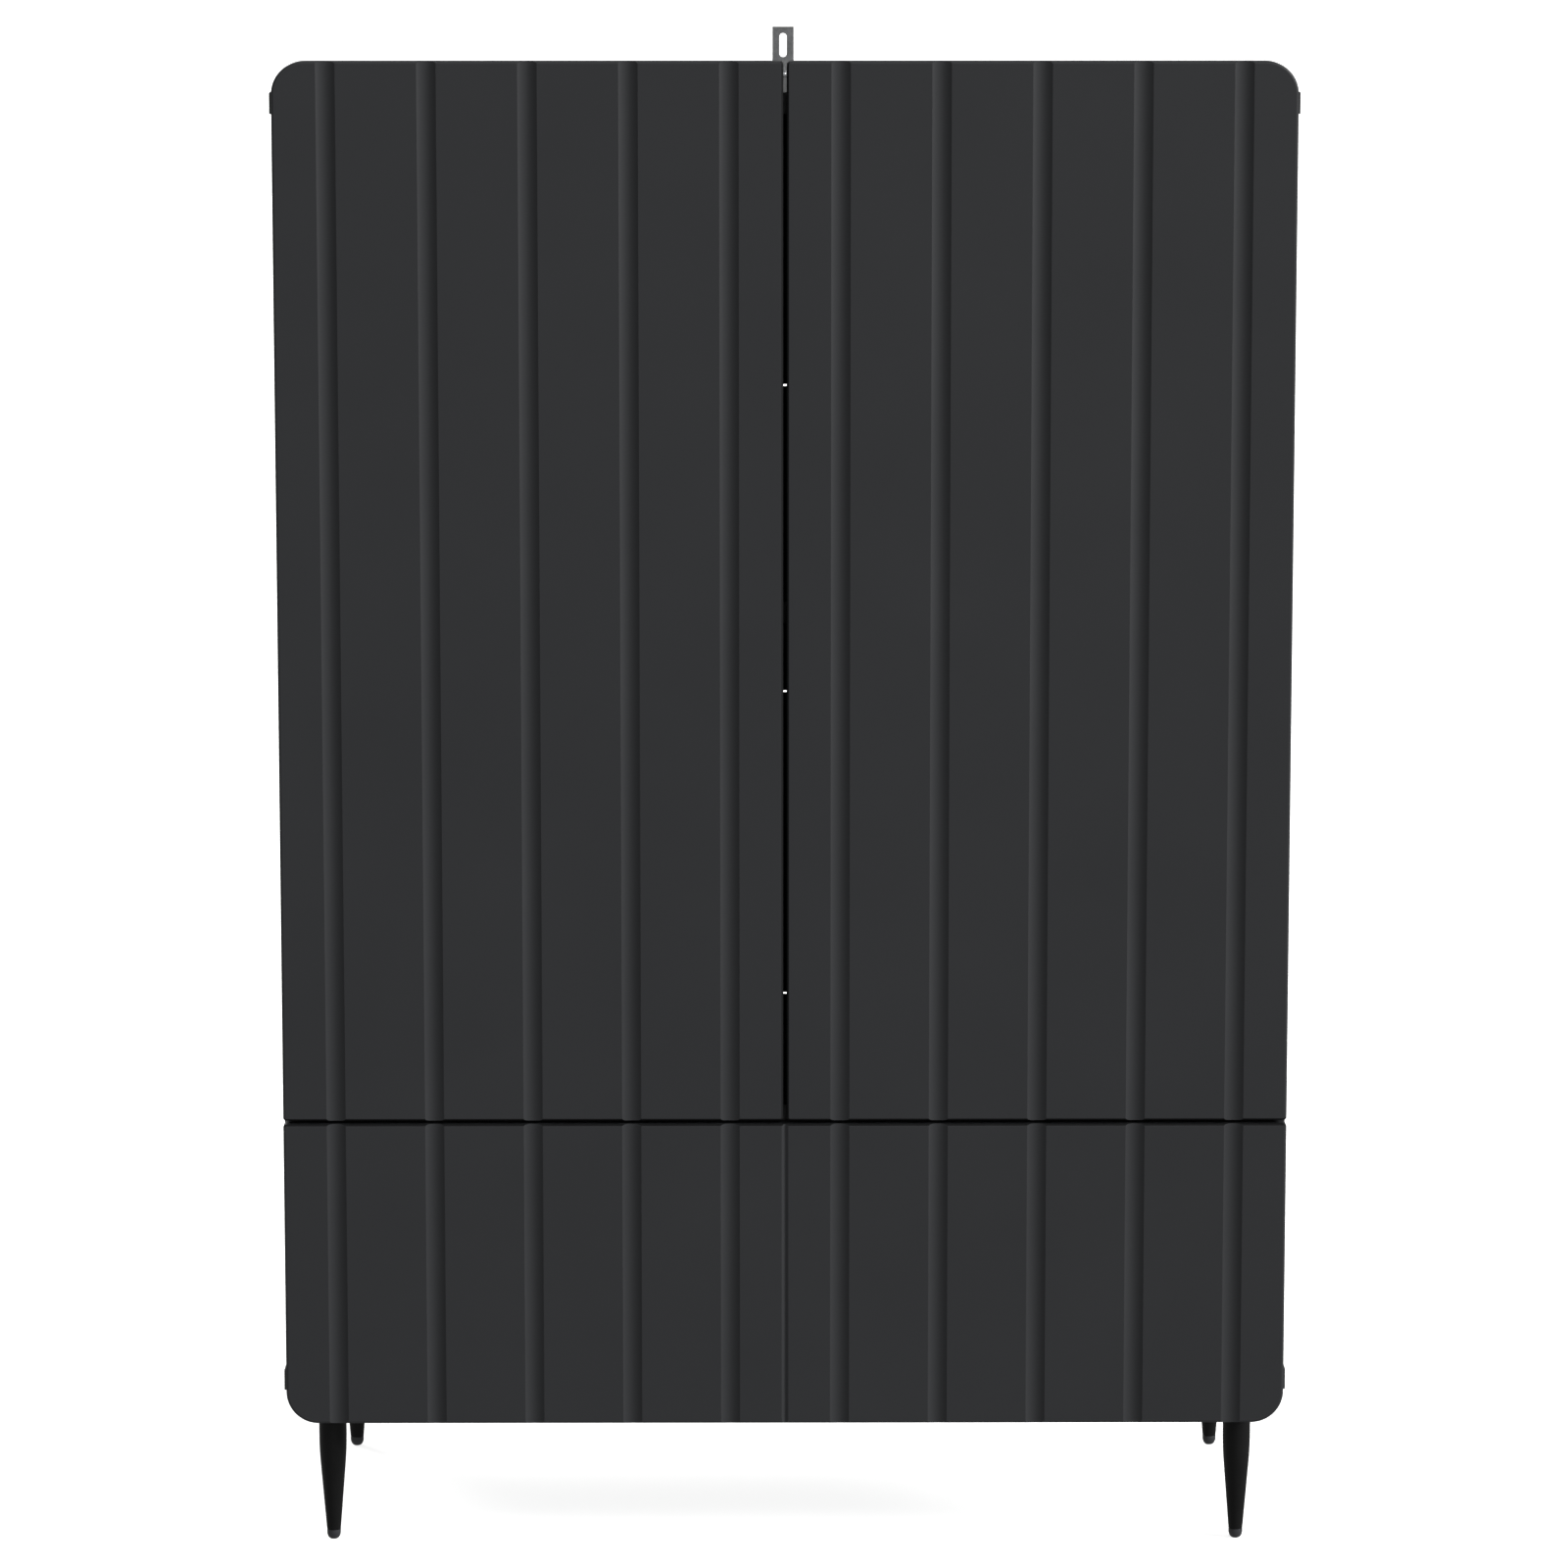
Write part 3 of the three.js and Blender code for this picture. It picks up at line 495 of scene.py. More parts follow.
@dataclass
class Screw:
    """A domed screw head with a cross recess, used all over the wardrobe."""

    head: float  # radius of the head in metres
    rise: float  # height of the head

    def mesh(self, at: Sequence[float], facing: Sequence[float]) -> Mesh:
        """Makes the screw's head.

        Args:
            at: Point on the surface that it is driven into.
            facing: Direction out of that surface.

        Returns:
            The head.
        """
        edge, steepest, steps = 0.25, 75, 4
        angles = [math.radians(steepest * i / steps) for i in range(steps + 1)]
        dome = [(self.head * math.cos(t), self.rise * (edge + (1 - edge) * math.sin(t))) for t in angles]
        head = turned([(0.0, 0.0), (self.head, 0.0), *dome, (0.0, self.rise)], Matrix.Identity(4), 24)
        arm, slot, depth = self.head * 0.52, self.head * 0.13, self.rise * 0.55
        cross = [block((-x, -y, self.rise - depth), (x, y, 2 * self.rise))
                 for x, y in ((arm, slot), (slot, arm))]
        cut = combined(head, cross)
        turn = Vector(facing).to_track_quat("Z", "Y").to_matrix().to_4x4()
        cut.transform(Matrix.Translation(at) @ turn)
        return cut


WOOD_SCREW = Screw(head=3.0 * MM, rise=1.5 * MM)
ADJUSTER = Screw(head=3.0 * MM, rise=1.2 * MM)


# ---- Fronts -----------------------------------------------------------------------------------


@dataclass
class Fronts:
    """The two doors and the drawer front, which share one rounded outline and one set of flutes."""

    outer_radius: float = 29 * MM  # radius of the outline's outer corners
    meeting_radius: float = 3 * MM  # radius of the corners where fronts meet
    edge_round: float = 2.4 * MM  # round-over along the front edges
    back_round: float = 0.8 * MM  # round-over along the back edges
    flute_width: float = 17.1 * MM  # width of a flute at the face
    flute_depth: float = 2.3 * MM  # depth of a flute
    flute_pitch: float = 88.3 * MM  # distance between flutes
    flutes: int = 5  # flutes on each door
    vee_width: float = 6.0 * MM  # width of the groove down the drawer front
    vee_depth: float = 1.4 * MM  # depth of that groove
    vee_round: float = 0.8 * MM  # rounding at the bottom of that groove
    cup_radius: float = 17.5 * MM  # radius of the pockets for the hinge cups
    cup_depth: float = 12.5 * MM  # depth of those pockets
    overrun: float = 5 * MM  # how far the flutes' cutters run past the front's ends

    def build(self) -> None:
        """Makes the three fronts."""
        for side in Side:
            node, sign = f"{side}_door", side.value
            low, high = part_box(node)
            corners = {(sign, 1): self.outer_radius, (sign, -1): self.meeting_radius,
                       (-sign, 1): self.meeting_radius, (-sign, -1): self.meeting_radius}
            cutters = self.coves(low, high, (low.x + high.x) / 2) + self.pockets(side, high.y)
            door = combined(self.panel(low, high, corners), cutters)
            # Painted shade along the edges that meet the other door and the drawer front.
            for direction in ((-sign, 0, 0), (0, 0, -1)):
                self.paint_gap_shade_on_edge(door, low, high, Vector(direction))
            self.place(f"door_{side}", node, node, door)

        low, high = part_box("drawer_front")
        corners = {(sx, sz): self.outer_radius if sz < 0 else self.meeting_radius
                   for sx in (-1, 1) for sz in (-1, 1)}
        cutters = [self.vee(low, high)]
        for side in Side:
            door_low, door_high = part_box(f"{side}_door")
            cutters += self.coves(low, high, (door_low.x + door_high.x) / 2)
        front = combined(self.panel(low, high, corners), cutters)
        # Painted shade along the top edge, which meets the doors.
        self.paint_gap_shade_on_edge(front, low, high, Vector((0, 0, 1)))
        self.place("drawer_front_panel", "drawer", "drawer_front", front)

    def place(self, name: str, body: str, node: str, bm: Mesh) -> None:
        """Places one front in the frame."""
        # The second finish is painted shade on the edges that face another front.
        Piece(name, body, "front_lacquer", (SPRAYED_LACQUER, GAP_SHADE_LACQUER), (node,)).place(bm, crease=20)

    def paint_gap_shade_on_edge(self, bm: Mesh, low: Vector, high: Vector, direction: Vector) -> None:
        """Gives the rounded edge that faces another front a much darker finish: painted shade for the gap
        between fronts.

        Args:
            bm: The front.
            low: Lowest corner.
            high: Highest corner.
            direction: Where the other front lies.
        """
        bm.normal_update()
        edge = max(direction.dot(low), direction.dot(high))
        deepest = low.y + self.edge_round * 1.2
        least_turn = 0.15
        for face in bm.faces:
            centre = face.calc_center_median()
            near_edge = direction.dot(centre) > edge - self.edge_round
            if near_edge and centre.y < deepest and face.normal.dot(direction) > least_turn:
                # Painted shade: these faces take the darker lacquer.
                face.material_index = 1

    def panel(self, low: Vector, high: Vector, corners: dict[tuple[int, int], float]) -> Mesh:
        """Makes a plain rounded panel.

        Args:
            low: Lowest corner.
            high: Highest corner.
            corners: Radius for each corner, by the signs of its X and Z.

        Returns:
            The panel with its edges rounded, front and back.
        """
        bm = block(low, high)
        for (sx, sz), radius in corners.items():
            x, z = (high.x if sx > 0 else low.x), (high.z if sz > 0 else low.z)
            corner = edges_between(bm, lambda co: abs(co.x - x) < SAME and abs(co.z - z) < SAME)
            bevelled(bm, corner, radius, 20 if radius > self.meeting_radius else 6)
        for y, radius, segments in ((low.y, self.edge_round, 7), (high.y, self.back_round, 3)):
            bevelled(bm, edges_between(bm, lambda co: abs(co.y - y) < SAME), radius, segments)
        return bm

    def coves(self, low: Vector, high: Vector, centre: float) -> list[Mesh]:
        """Makes the cutters of one door's flutes, a little taller than the front.

        Args:
            low: Lowest corner of the front.
            high: Highest corner of the front.
            centre: X of the middle of the door.

        Returns:
            A bar for each flute.
        """
        half = self.flute_width / 2
        radius = (half ** 2 + self.flute_depth ** 2) / (2 * self.flute_depth)
        y = low.y + self.flute_depth - radius
        places = [centre + (i - (self.flutes - 1) / 2) * self.flute_pitch for i in range(self.flutes)]
        return [rod((x, y, low.z - self.overrun), (x, y, high.z + self.overrun), radius, 96)
                for x in places]

    def pockets(self, side: Side, back: float) -> list[Mesh]:
        """Makes the cutters of one door's pockets for the hinge cups.

        Args:
            side: Side that it is on.
            back: Y of the back of the door.

        Returns:
            A bar for each pocket.
        """
        cutters = []
        for row in Level:
            cup_low, cup_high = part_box(f"hinge_cup_{side}_{row}")
            cup = (cup_low + cup_high) / 2
            cutters.append(rod((cup.x, back - self.cup_depth, cup.z), (cup.x, back + PAST, cup.z),
                               self.cup_radius, 64))
        return cutters

    def vee(self, low: Vector, high: Vector) -> Mesh:
        """Makes the cutter of the groove down the middle of the drawer front.

        Args:
            low: Lowest corner of the front.
            high: Highest corner of the front.

        Returns:
            A three-sided bar, several times as large as the groove.
        """
        spread = 3
        x = (low.x + high.x) / 2
        y = low.y + self.vee_depth
        half, rise = spread * self.vee_width / 2, spread * self.vee_depth
        base = low.z - self.overrun
        cutter = prism([(x, y, base), (x + half, y - rise, base), (x - half, y - rise, base)],
                       (0, 0, high.z - low.z + 2 * self.overrun))
        bevelled(cutter, edges_between(cutter, lambda co: abs(co.y - y) < SAME), self.vee_round, 4)
        return cutter


# ---- Carcass ----------------------------------------------------------------------------------


@dataclass
class Carcass:
    """Boards, shelf, back panels and shelf pins."""

    arris: float = 0.5 * MM  # rounding of a board's edges
    hole_radius: float = 2.8 * MM  # radius of a shelf pin hole
    hole_depth: float = 8.3 * MM  # depth of a shelf pin hole, and of the pin in it
    holes: int = 5  # holes in each row
    hole_pitch: float = 32 * MM  # distance between holes
    pin_radius: float = 2.5 * MM  # radius of a shelf pin
    collar: float = 0.8 * MM  # thickness of a shelf pin's collar
    panel_arris: float = 0.25 * MM  # rounding of a back panel's edges
    nail_radius: float = 2.0 * MM  # radius of a nail head in the back panels
    nail_rise: float = 0.35 * MM  # height of a nail head
    nail_spacing: float = 130 * MM  # largest distance between nails
    nail_inset: float = 9.5 * MM  # nails from the edge of a back panel
    dimple_radius: float = 2.7 * MM  # radius of the dimple round each nail
    dimple_depth: float = 0.5 * MM  # depth of that dimple
    # Cam lock in a board.
    cam: Screw = field(default_factory=lambda: Screw(head=7.5 * MM, rise=0.6 * MM))
    cam_inset: float = 26 * MM  # cam locks from the inner face of a side
    cam_from_ends: float = 60 * MM  # cam locks from the board's front and rear

    def build(self) -> None:
        """Makes every fixed board and panel."""
        for node in ("top_board", "bottom_board", "divider_board", "shelf"):
            self.place_board(node, block(*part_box(node), self.arris, 3), 2, MELAMINE_FOIL)
        for side in Side:
            board = block(*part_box(f"{side}_side"), self.arris, 3)
            self.place_board(f"{side}_side", combined(board, self.pin_holes(side)), 0, UPRIGHT_FOIL)
        for node, facing in (("top_board", -1), ("divider_board", -1), ("bottom_board", 1)):
            self.cam_locks(node, facing)
        for node in sorted(name for name in frame["nodes"] if name.startswith("back_panel_")):
            self.back_panel(node)
        for side in Side:
            for row in Row:
                self.shelf_pin(side, row)

    def place_board(self, node: str, bm: Mesh, thin_axis: int, foil: Finish) -> None:
        """Places a board.

        Args:
            node: CAD node that it stands for.
            bm: Its mesh.
            thin_axis: Axis across its thickness, whose faces are foil. The others are edge band.
            foil: Finish of the foil.
        """
        square_on = 0.9
        bm.normal_update()
        for face in bm.faces:
            face.material_index = 0 if abs(face.normal[thin_axis]) > square_on else 1
        Piece(f"board_{node}", "carcass", "carcass_board", (foil, ABS_EDGE), (node,)).place(bm)

    def cam_locks(self, node: str, facing: int) -> None:
        """Makes the cam locks that draw a board to the sides.

        Args:
            node: The board.
            facing: 1 where they show on its upper face, -1 on its lower one.
        """
        low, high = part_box(node)
        z = high.z if facing > 0 else low.z
        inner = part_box("right_side")[0].x - self.cam_inset
        locks = gathered(self.cam.mesh((x, y, z), (0, 0, facing)) for x in (-inner, inner)
                         for y in (low.y + self.cam_from_ends, high.y - self.cam_from_ends))
        Piece(f"cam_locks_{node}", "carcass", "zinc_steel", (CAST_ZINC,)).place(locks)

    def pin_holes(self, side: Side) -> list[Mesh]:
        """Makes the cutters of the two rows of shelf pin holes in one side.

        Args:
            side: Side that it is on.

        Returns:
            A bar for each hole.
        """
        low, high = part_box(f"{side}_side")
        inner, sign = high.x if side is Side.LEFT else low.x, side.value
        cutters = []
        for row in Row:
            pin_low, pin_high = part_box(f"shelf_pin_{side}_{row}")
            pin = (pin_low + pin_high) / 2
            for i in range(self.holes):
                z = pin.z + (i - (self.holes - 1) / 2) * self.hole_pitch
                cutters.append(rod((inner + sign * self.hole_depth, pin.y, z),
                                   (inner - sign * PAST, pin.y, z), self.hole_radius, 24))
        return cutters

    def back_panel(self, node: str) -> None:
        """Makes one back panel with a dimple and a nail at each fixing.

        Args:
            node: CAD node that it stands for.
        """
        low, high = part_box(node)
        seat = high.y - self.dimple_depth
        spots = self.nail_spots(low, high)
        dimples = [rod((x, seat, z), (x, high.y + PAST, z), self.dimple_radius, 20) for x, z in spots]
        Piece(f"hardboard_{node}", "carcass", "back_board", (HARDBOARD,), (node,)).place(
            combined(block(low, high, self.panel_arris), dimples))
        radius, rise = self.nail_radius, self.nail_rise
        profile = [(0, 0), (radius, 0), (radius, rise / 2), (radius * 0.75, rise), (0, rise)]
        lay = Matrix.Rotation(-math.pi / 2, 4, "X")
        Piece.zinc(f"nails_{node}", "carcass").place(gathered(
            turned(profile, Matrix.Translation((x, seat, z)) @ lay, 16) for x, z in spots))

    def nail_spots(self, low: Vector, high: Vector) -> Outline:
        """Spaces the nails along both ends, and along each edge that lies on a board.

        Args:
            low: Lowest corner of the back panel.
            high: Highest corner of the back panel.

        Returns:
            X and Z of each nail.
        """
        inset = self.nail_inset
        rows = round((high.z - low.z - 2 * inset) / self.nail_spacing)
        zs = [low.z + inset + (high.z - low.z - 2 * inset) * i / rows for i in range(rows + 1)]
        spots = [(x, z) for z in zs for x in (low.x + inset, high.x - inset)]
        count = round((high.x - low.x - 2 * inset) / self.nail_spacing)
        inner = [low.x + inset + (high.x - low.x - 2 * inset) * i / count for i in range(1, count)]
        for board in ("top_board", "bottom_board", "divider_board", "shelf"):
            board_low, board_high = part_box(board)
            z = (board_low.z + board_high.z) / 2
            if low.z + inset / 2 < z < high.z - inset / 2:
                spots += [(x, z) for x in inner]
        return spots

    def shelf_pin(self, side: Side, row: Row) -> None:
        """Makes one turned shelf pin.

        Args:
            side: Side that it is on.
            row: Row that it is in.
        """
        node = f"shelf_pin_{side}_{row}"
        low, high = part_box(node)
        radius, rim = self.pin_radius, (high.z - low.z) / 2
        seat, length = self.hole_depth, high.x - low.x
        chamfer, nose = radius * 0.2, radius * 0.3
        profile = [(0, 0), (radius - chamfer, 0), (radius, chamfer), (radius, seat), (rim, seat),
                   (rim, seat + self.collar), (radius, seat + self.collar), (radius, length - nose),
                   (radius - nose, length), (0, length)]
        middle = (low + high) / 2
        place = Matrix.Translation((low.x if side is Side.LEFT else high.x, middle.y, middle.z))
        Piece.zinc(f"pin_{side}_{row}", "carcass", node).place(
            turned(profile, place @ Matrix.Rotation(-side.value * math.pi / 2, 4, "Y"), 24))


# ---- Legs -------------------------------------------------------------------------------------


@dataclass
class Leg:
    """One tapered leg with its plate, its screws and its glide."""

    row: Row
    side: Side
    taper_top: float = 85 * MM  # height at which the taper ends
    toe: float = 6.35 * MM  # radius at the foot
    blend: float = 14 * MM  # half the length over which the taper runs into the straight part
    under_plate: float = 0.3 * MM  # gap between the leg and its plate
    chamfer: float = 0.6 * MM  # chamfer round the leg's shoulder
    stud: float = 4 * MM  # radius of the threaded stud
    thread: float = 0.5 * MM  # depth of the thread
    turns: int = 7  # turns of the thread
    socket: float = 2.3 * MM  # radius of the hole for the glide's stem
    socket_depth: float = 12.3 * MM  # depth of that hole
    sole: float = 1.8 * MM  # radius of the flat part of the glide's sole
    sole_curve: float = 6.5 * MM  # height of the curve round the sole
    stem: float = 2 * MM  # radius of the glide's stem
    easing: float = 0.5 * MM  # chamfer at the end of the stem, and height of the leg's rounded foot
    plate_corner: float = 4 * MM  # radius of the plate's corners
    plate_arris: float = 0.3 * MM  # rounding of the plate's edges
    screw_inset: float = 6 * MM  # screws from the plate's edges
    screw_hole: float = 2.2 * MM  # radius of the screw holes

    def build(self) -> None:
        """Makes the leg and everything on it."""
        tag = f"{self.row}_{self.side}"
        low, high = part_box(f"leg_{tag}")
        plate_low, plate_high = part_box(f"leg_plate_{tag}")
        glide_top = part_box(f"glide_{tag}")[1].z
        place = Matrix.Translation(((low.x + high.x) / 2, (low.y + high.y) / 2, 0))
        leg = turned(self.leg(low, high, plate_low.z - self.under_plate), place, 64)
        glide = turned(self.glide(glide_top, low.z), place, 48)
        Piece(f"tapered_leg_{tag}", "carcass", "leg_black", (LACQUERED_BEECH,), (f"leg_{tag}",)).place(
            leg, crease=50)
        Piece(f"plate_{tag}", "carcass", "black_steel", (POWDER_COAT,), (f"leg_plate_{tag}",)).place(
            self.plate(plate_low, plate_high))
        Piece.zinc(f"plate_screws_{tag}", "carcass").place(gathered(
            WOOD_SCREW.mesh((x, y, plate_low.z), (0, 0, -1))
            for x, y in self.screw_spots(plate_low, plate_high)))
        Piece(f"foot_glide_{tag}", "carcass", "glide_grey", (MOULDED_GLIDE,), (f"glide_{tag}",)).place(
            glide, crease=50)

    def leg(self, low: Vector, high: Vector, shoulder: float) -> Outline:
        """Draws the leg from the socket in its foot up to the stud.

        Args:
            low: Lowest corner of the CAD leg.
            high: Highest corner of the CAD leg.
            shoulder: Height at which the thick part ends.

        Returns:
            Radius and height of each point.
        """
        full = (high.x - low.x) / 2
        slope = (full - self.toe) / (self.taper_top - low.z)
        top = low.z + self.socket_depth
        foot_round, stud_end = 0.4 * MM, 0.3 * MM
        points = [(0.0, top), (self.socket, top), (self.socket, low.z), (self.toe - foot_round, low.z),
                  (self.toe, low.z + self.easing)]
        steps = 8
        for i in range(steps + 1):
            t = i / steps
            z = self.taper_top - self.blend + 2 * self.blend * t
            points.append((full - slope * self.blend * (1 - t) ** 2, z))
        points += [(full, shoulder - self.chamfer), (full - self.chamfer, shoulder), (self.stud, shoulder)]
        start = shoulder + self.chamfer
        pitch = (high.z - start) / self.turns
        for i in range(self.turns):
            z = start + i * pitch
            points += [(self.stud, z), (self.stud - self.thread, z + pitch / 2)]
        return points + [(self.stud - stud_end, high.z), (0.0, high.z)]

    def glide(self, top: float, foot: float) -> Outline:
        """Draws the glide: flat sole, curved edge and a stem up into the leg.

        Args:
            top: Height of the stem's end.
            foot: Height of the foot that it carries.

        Returns:
            Radius and height of each point.
        """
        edge, bevel, steps = foot - 0.02 * MM, 0.2 * MM, 12
        points = [(0.0, 0.0)]
        for i in range(steps + 1):
            turn = i / steps * math.pi / 2
            points.append((self.sole + (self.toe - self.sole) * math.sin(turn),
                           self.sole_curve * (1 - math.cos(turn))))
        return points + [(self.toe, edge - bevel), (self.toe - bevel, edge), (self.stem, edge),
                         (self.stem, top - self.easing), (self.stem - self.easing, top), (0.0, top)]

    def screw_spots(self, low: Vector, high: Vector) -> Outline:
        """Returns X and Y of the plate's four screws."""
        inset = self.screw_inset
        return [(x, y) for x in (low.x + inset, high.x - inset) for y in (low.y + inset, high.y - inset)]

    def plate(self, low: Vector, high: Vector) -> Mesh:
        """Makes the plate with round corners, and holes for the stud and the screws.

        Args:
            low: Lowest corner.
            high: Highest corner.

        Returns:
            The plate.
        """
        bm = block(low, high)
        middle = (low + high) / 2
        uprights = [e for e in bm.edges if abs(e.verts[0].co.z - e.verts[1].co.z) > SAME]
        bevelled(bm, uprights, self.plate_corner, 6)
        spots = [(middle.x, middle.y, self.stud + self.under_plate, 32),
                 *((x, y, self.screw_hole, 20) for x, y in self.screw_spots(low, high))]
        plate = combined(bm, [rod((x, y, low.z - PAST), (x, y, high.z + PAST), radius, steps)
                              for x, y, radius, steps in spots])
        bevelled(plate, creases(plate, 60), self.plate_arris)
        return plate


# ---- Wall bracket -----------------------------------------------------------------------------


@dataclass
class WallBracket:
    """Bent strip on the top board that ties the wardrobe to the wall."""

    thick: float = 2 * MM  # thickness of the strip
    bend: float = 4 * MM  # outer radius of the bend
    arris: float = 0.25 * MM  # rounding of the strip's edges
    slot_width: float = 7 * MM  # width of the slot
    slot_length: float = 22.5 * MM  # length of the slot
    slot_top: float = 6 * MM  # slot below the upper end
    screw_hole: float = 2.2 * MM  # radius of the screw holes
    head_rise: float = 2 * MM  # height of the screws' heads
    shank: float = 1.9 * MM  # radius of the screws' shanks
    # Radius and height of the first step above a shank's point.
    shank_tip: tuple[float, float] = (1.2 * MM, 3 * MM)
    shank_start: float = 5 * MM  # height at which the shank is full

    def build(self) -> None:
        """Makes the bracket and its two screws."""
        screws = {number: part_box(f"bracket_screw_{number}") for number in (1, 2)}
        low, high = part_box("wall_bracket")
        places = [(screw_low.y + screw_high.y) / 2 for screw_low, screw_high in screws.values()]
        Piece("bracket", "carcass", "zinc_steel", (GALVANISED_STRIP,), ("wall_bracket",)).place(
            self.strip(low, high, places), crease=35)
        for number, (low, high) in screws.items():
            x, y = (low.x + high.x) / 2, (low.y + high.y) / 2
            seat = high.z - self.head_rise
            head = Screw((high.x - low.x) / 2, self.head_rise).mesh((x, y, seat), (0, 0, 1))
            tip, step = self.shank_tip
            profile = [(0, low.z), (tip, low.z + step), (self.shank, low.z + self.shank_start),
                       (self.shank, seat), (0, seat)]
            shank = turned(profile, Matrix.Translation((x, y, 0)), 20)
            Piece.zinc(f"screw_bracket_{number}", "carcass", f"bracket_screw_{number}").place(
                gathered([head, shank]))

    def strip(self, low: Vector, high: Vector, screws: list[float]) -> Mesh:
        """Makes the bent strip with its slot, its screw holes and softened edges.

        Args:
            low: Lowest corner.
            high: Highest corner.
            screws: Y of each screw.

        Returns:
            The strip.
        """
        centre = (high.y - self.bend, low.z + self.bend)
        inner = high.y - self.thick
        outline = [(low.y, low.z), *arc(centre, self.bend, -90, 0, 12), (high.y, high.z), (inner, high.z),
                   *arc(centre, self.bend - self.thick, 0, -90, 12), (low.y, low.z + self.thick)]
        bm = prism([(low.x, y, z) for y, z in outline], (high.x - low.x, 0, 0))
        half = self.slot_width / 2
        top = high.z - self.slot_top - half
        bottom = high.z - self.slot_top - self.slot_length + half
        slot = [(half, bottom), *arc((0, top), half, 0, 180, 16),
                *arc((0, bottom), half, 180, 360, 16)[:-1]]
        middle = (low.x + high.x) / 2
        cutters = [prism([(middle + x, inner - PAST, z) for x, z in slot], (0, self.thick + 2 * PAST, 0))]
        cutters += [rod((middle, y, low.z - PAST), (middle, y, low.z + self.thick + PAST),
                        self.screw_hole, 24) for y in screws]
        strip = combined(bm, cutters)
        bevelled(strip, creases(strip, 60), self.arris)
        return strip


# ---- Hinges -----------------------------------------------------------------------------------


@dataclass
class Hinge:
    """One concealed hinge: arm and plate on the carcass, bowed link, and cup in the door.

    The left hinge is modelled, and the right one is its mirror image. Places along the arm are
    measured back from the arm's pin.
    """

    side: Side
    row: Level
    link_half: float = 4.9 * MM  # half the width of the link
    bow: float = 3.5 * MM  # bow of the link
    strip: float = 2.2 * MM  # thickness of the link
    eye: float = 2.6 * MM  # radius of the link's eyes
    pin: float = 1.3 * MM  # radius of a pin
    clear: float = 0.3 * MM  # room round a pin and beside the link
    cheek: float = 1.6 * MM  # thickness of the arm's cheeks and of the cup's ears
    nose: float = 3.4 * MM  # radius of the arm's nose
    arm_arris: float = 0.4 * MM  # rounding of the arm's edges
    fork_end: float = 14 * MM  # place at which the fork for the link ends
    plate_start: float = 18 * MM  # place at which the plate starts
    plate_thick: float = 4.2 * MM  # thickness of the plate
    plate_half: float = 9 * MM  # half the width of the plate
    plate_arris: float = 0.6 * MM  # rounding of the plate's edges
    wings_at: float = 45 * MM  # place of the plate's wings and their screws
    wing_half: float = 7 * MM  # half the width of a wing
    wing_thick: float = 2.5 * MM  # thickness of a wing
    wing_screw: float = 17 * MM  # screws of the wings from the middle of the plate
    window_start: float = 26 * MM  # place at which the window on the arm starts
    window_half: float = 3.2 * MM  # half the width of that window
    window_depth: float = 1.2 * MM  # depth of that window
    window_end: float = 12 * MM  # that window's end from the plate's far end
    adjusters_at: tuple[float, float] = (32 * MM, 52 * MM)  # places of the adjusting screws in it
    wall: float = 1.0 * MM  # wall of the cup
    flange: float = 1.0 * MM  # thickness of the cup's flange
    flange_half: float = 6 * MM  # half the width of the flange's wings
    # Screw in each of those wings.
    flange_screw: Screw = field(default_factory=lambda: Screw(head=2.6 * MM, rise=0.6 * MM))
    flange_screw_inset: float = 5 * MM  # those screws from the ends of the wings
    ear_half: float = 3 * MM  # half the width of the cup's ears
    ear_past: float = 2.8 * MM  # how far an ear stands past its pin

    def __post_init__(self) -> None:
        """Reads the left hinge's boxes and pins from the frame."""
        self.boxes = {part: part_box(f"hinge_{part}_left_{self.row}") for part in ("arm", "link", "cup")}
        joints = {joint["name"]: Vector(joint["pos_m"]) for joint in frame["joints"] if "pos_m" in joint}
        self.arm_pin = joints["left_hinge_links_swing"]
        self.cup_pin = joints["left_door_swing"]
        low, high = self.boxes["link"]
        self.z = (low.z + high.z) / 2

    def build(self) -> None:
        """Makes the hinge's pieces and their screws."""
        tag = f"{self.side}_{self.row}"
        bodies = {"arm": "carcass", "link": f"{self.side}_hinge_links", "cup": f"{self.side}_door"}
        shapes = {"arm": self.arm, "link": self.link, "cup": self.cup}
        screws = {"arm": self.arm_screws, "cup": self.cup_screws}
        for part, body in bodies.items():
            node = f"hinge_{part}_{tag}"
            Piece(f"{part}_{tag}", body, "nickel_steel", (NICKEL_PRESSING,), (node,)).place(
                mirrored(shapes[part](), self.side))
            if part in screws:
                Piece.zinc(f"{part}_screws_{tag}", body).place(mirrored(screws[part](), self.side))

    def across(self, spot: Vector, half: float, radius: float, steps: int) -> Mesh:
        """Makes an upright bar through the hinge's mid-height.

        Args:
            spot: X and Y of its axis.
            half: Half its length.
            radius: Its radius.
            steps: Facets round it.

        Returns:
            The bar.
        """
        return rod((spot.x, spot.y, self.z - half), (spot.x, spot.y, self.z + half), radius, steps)

    def arm(self) -> Mesh:
        """Makes the arm with its forked nose, joined to its winged plate.

        Returns:
            The arm.
        """
        low, high = self.boxes["arm"]
        pin, z, top = self.arm_pin, self.z, high.x
        gap = self.link_half + self.clear
        reach = gap + self.cheek
        face = low.x + self.plate_thick
        sunk, end = face - 1 * MM, high.y - 4 * MM
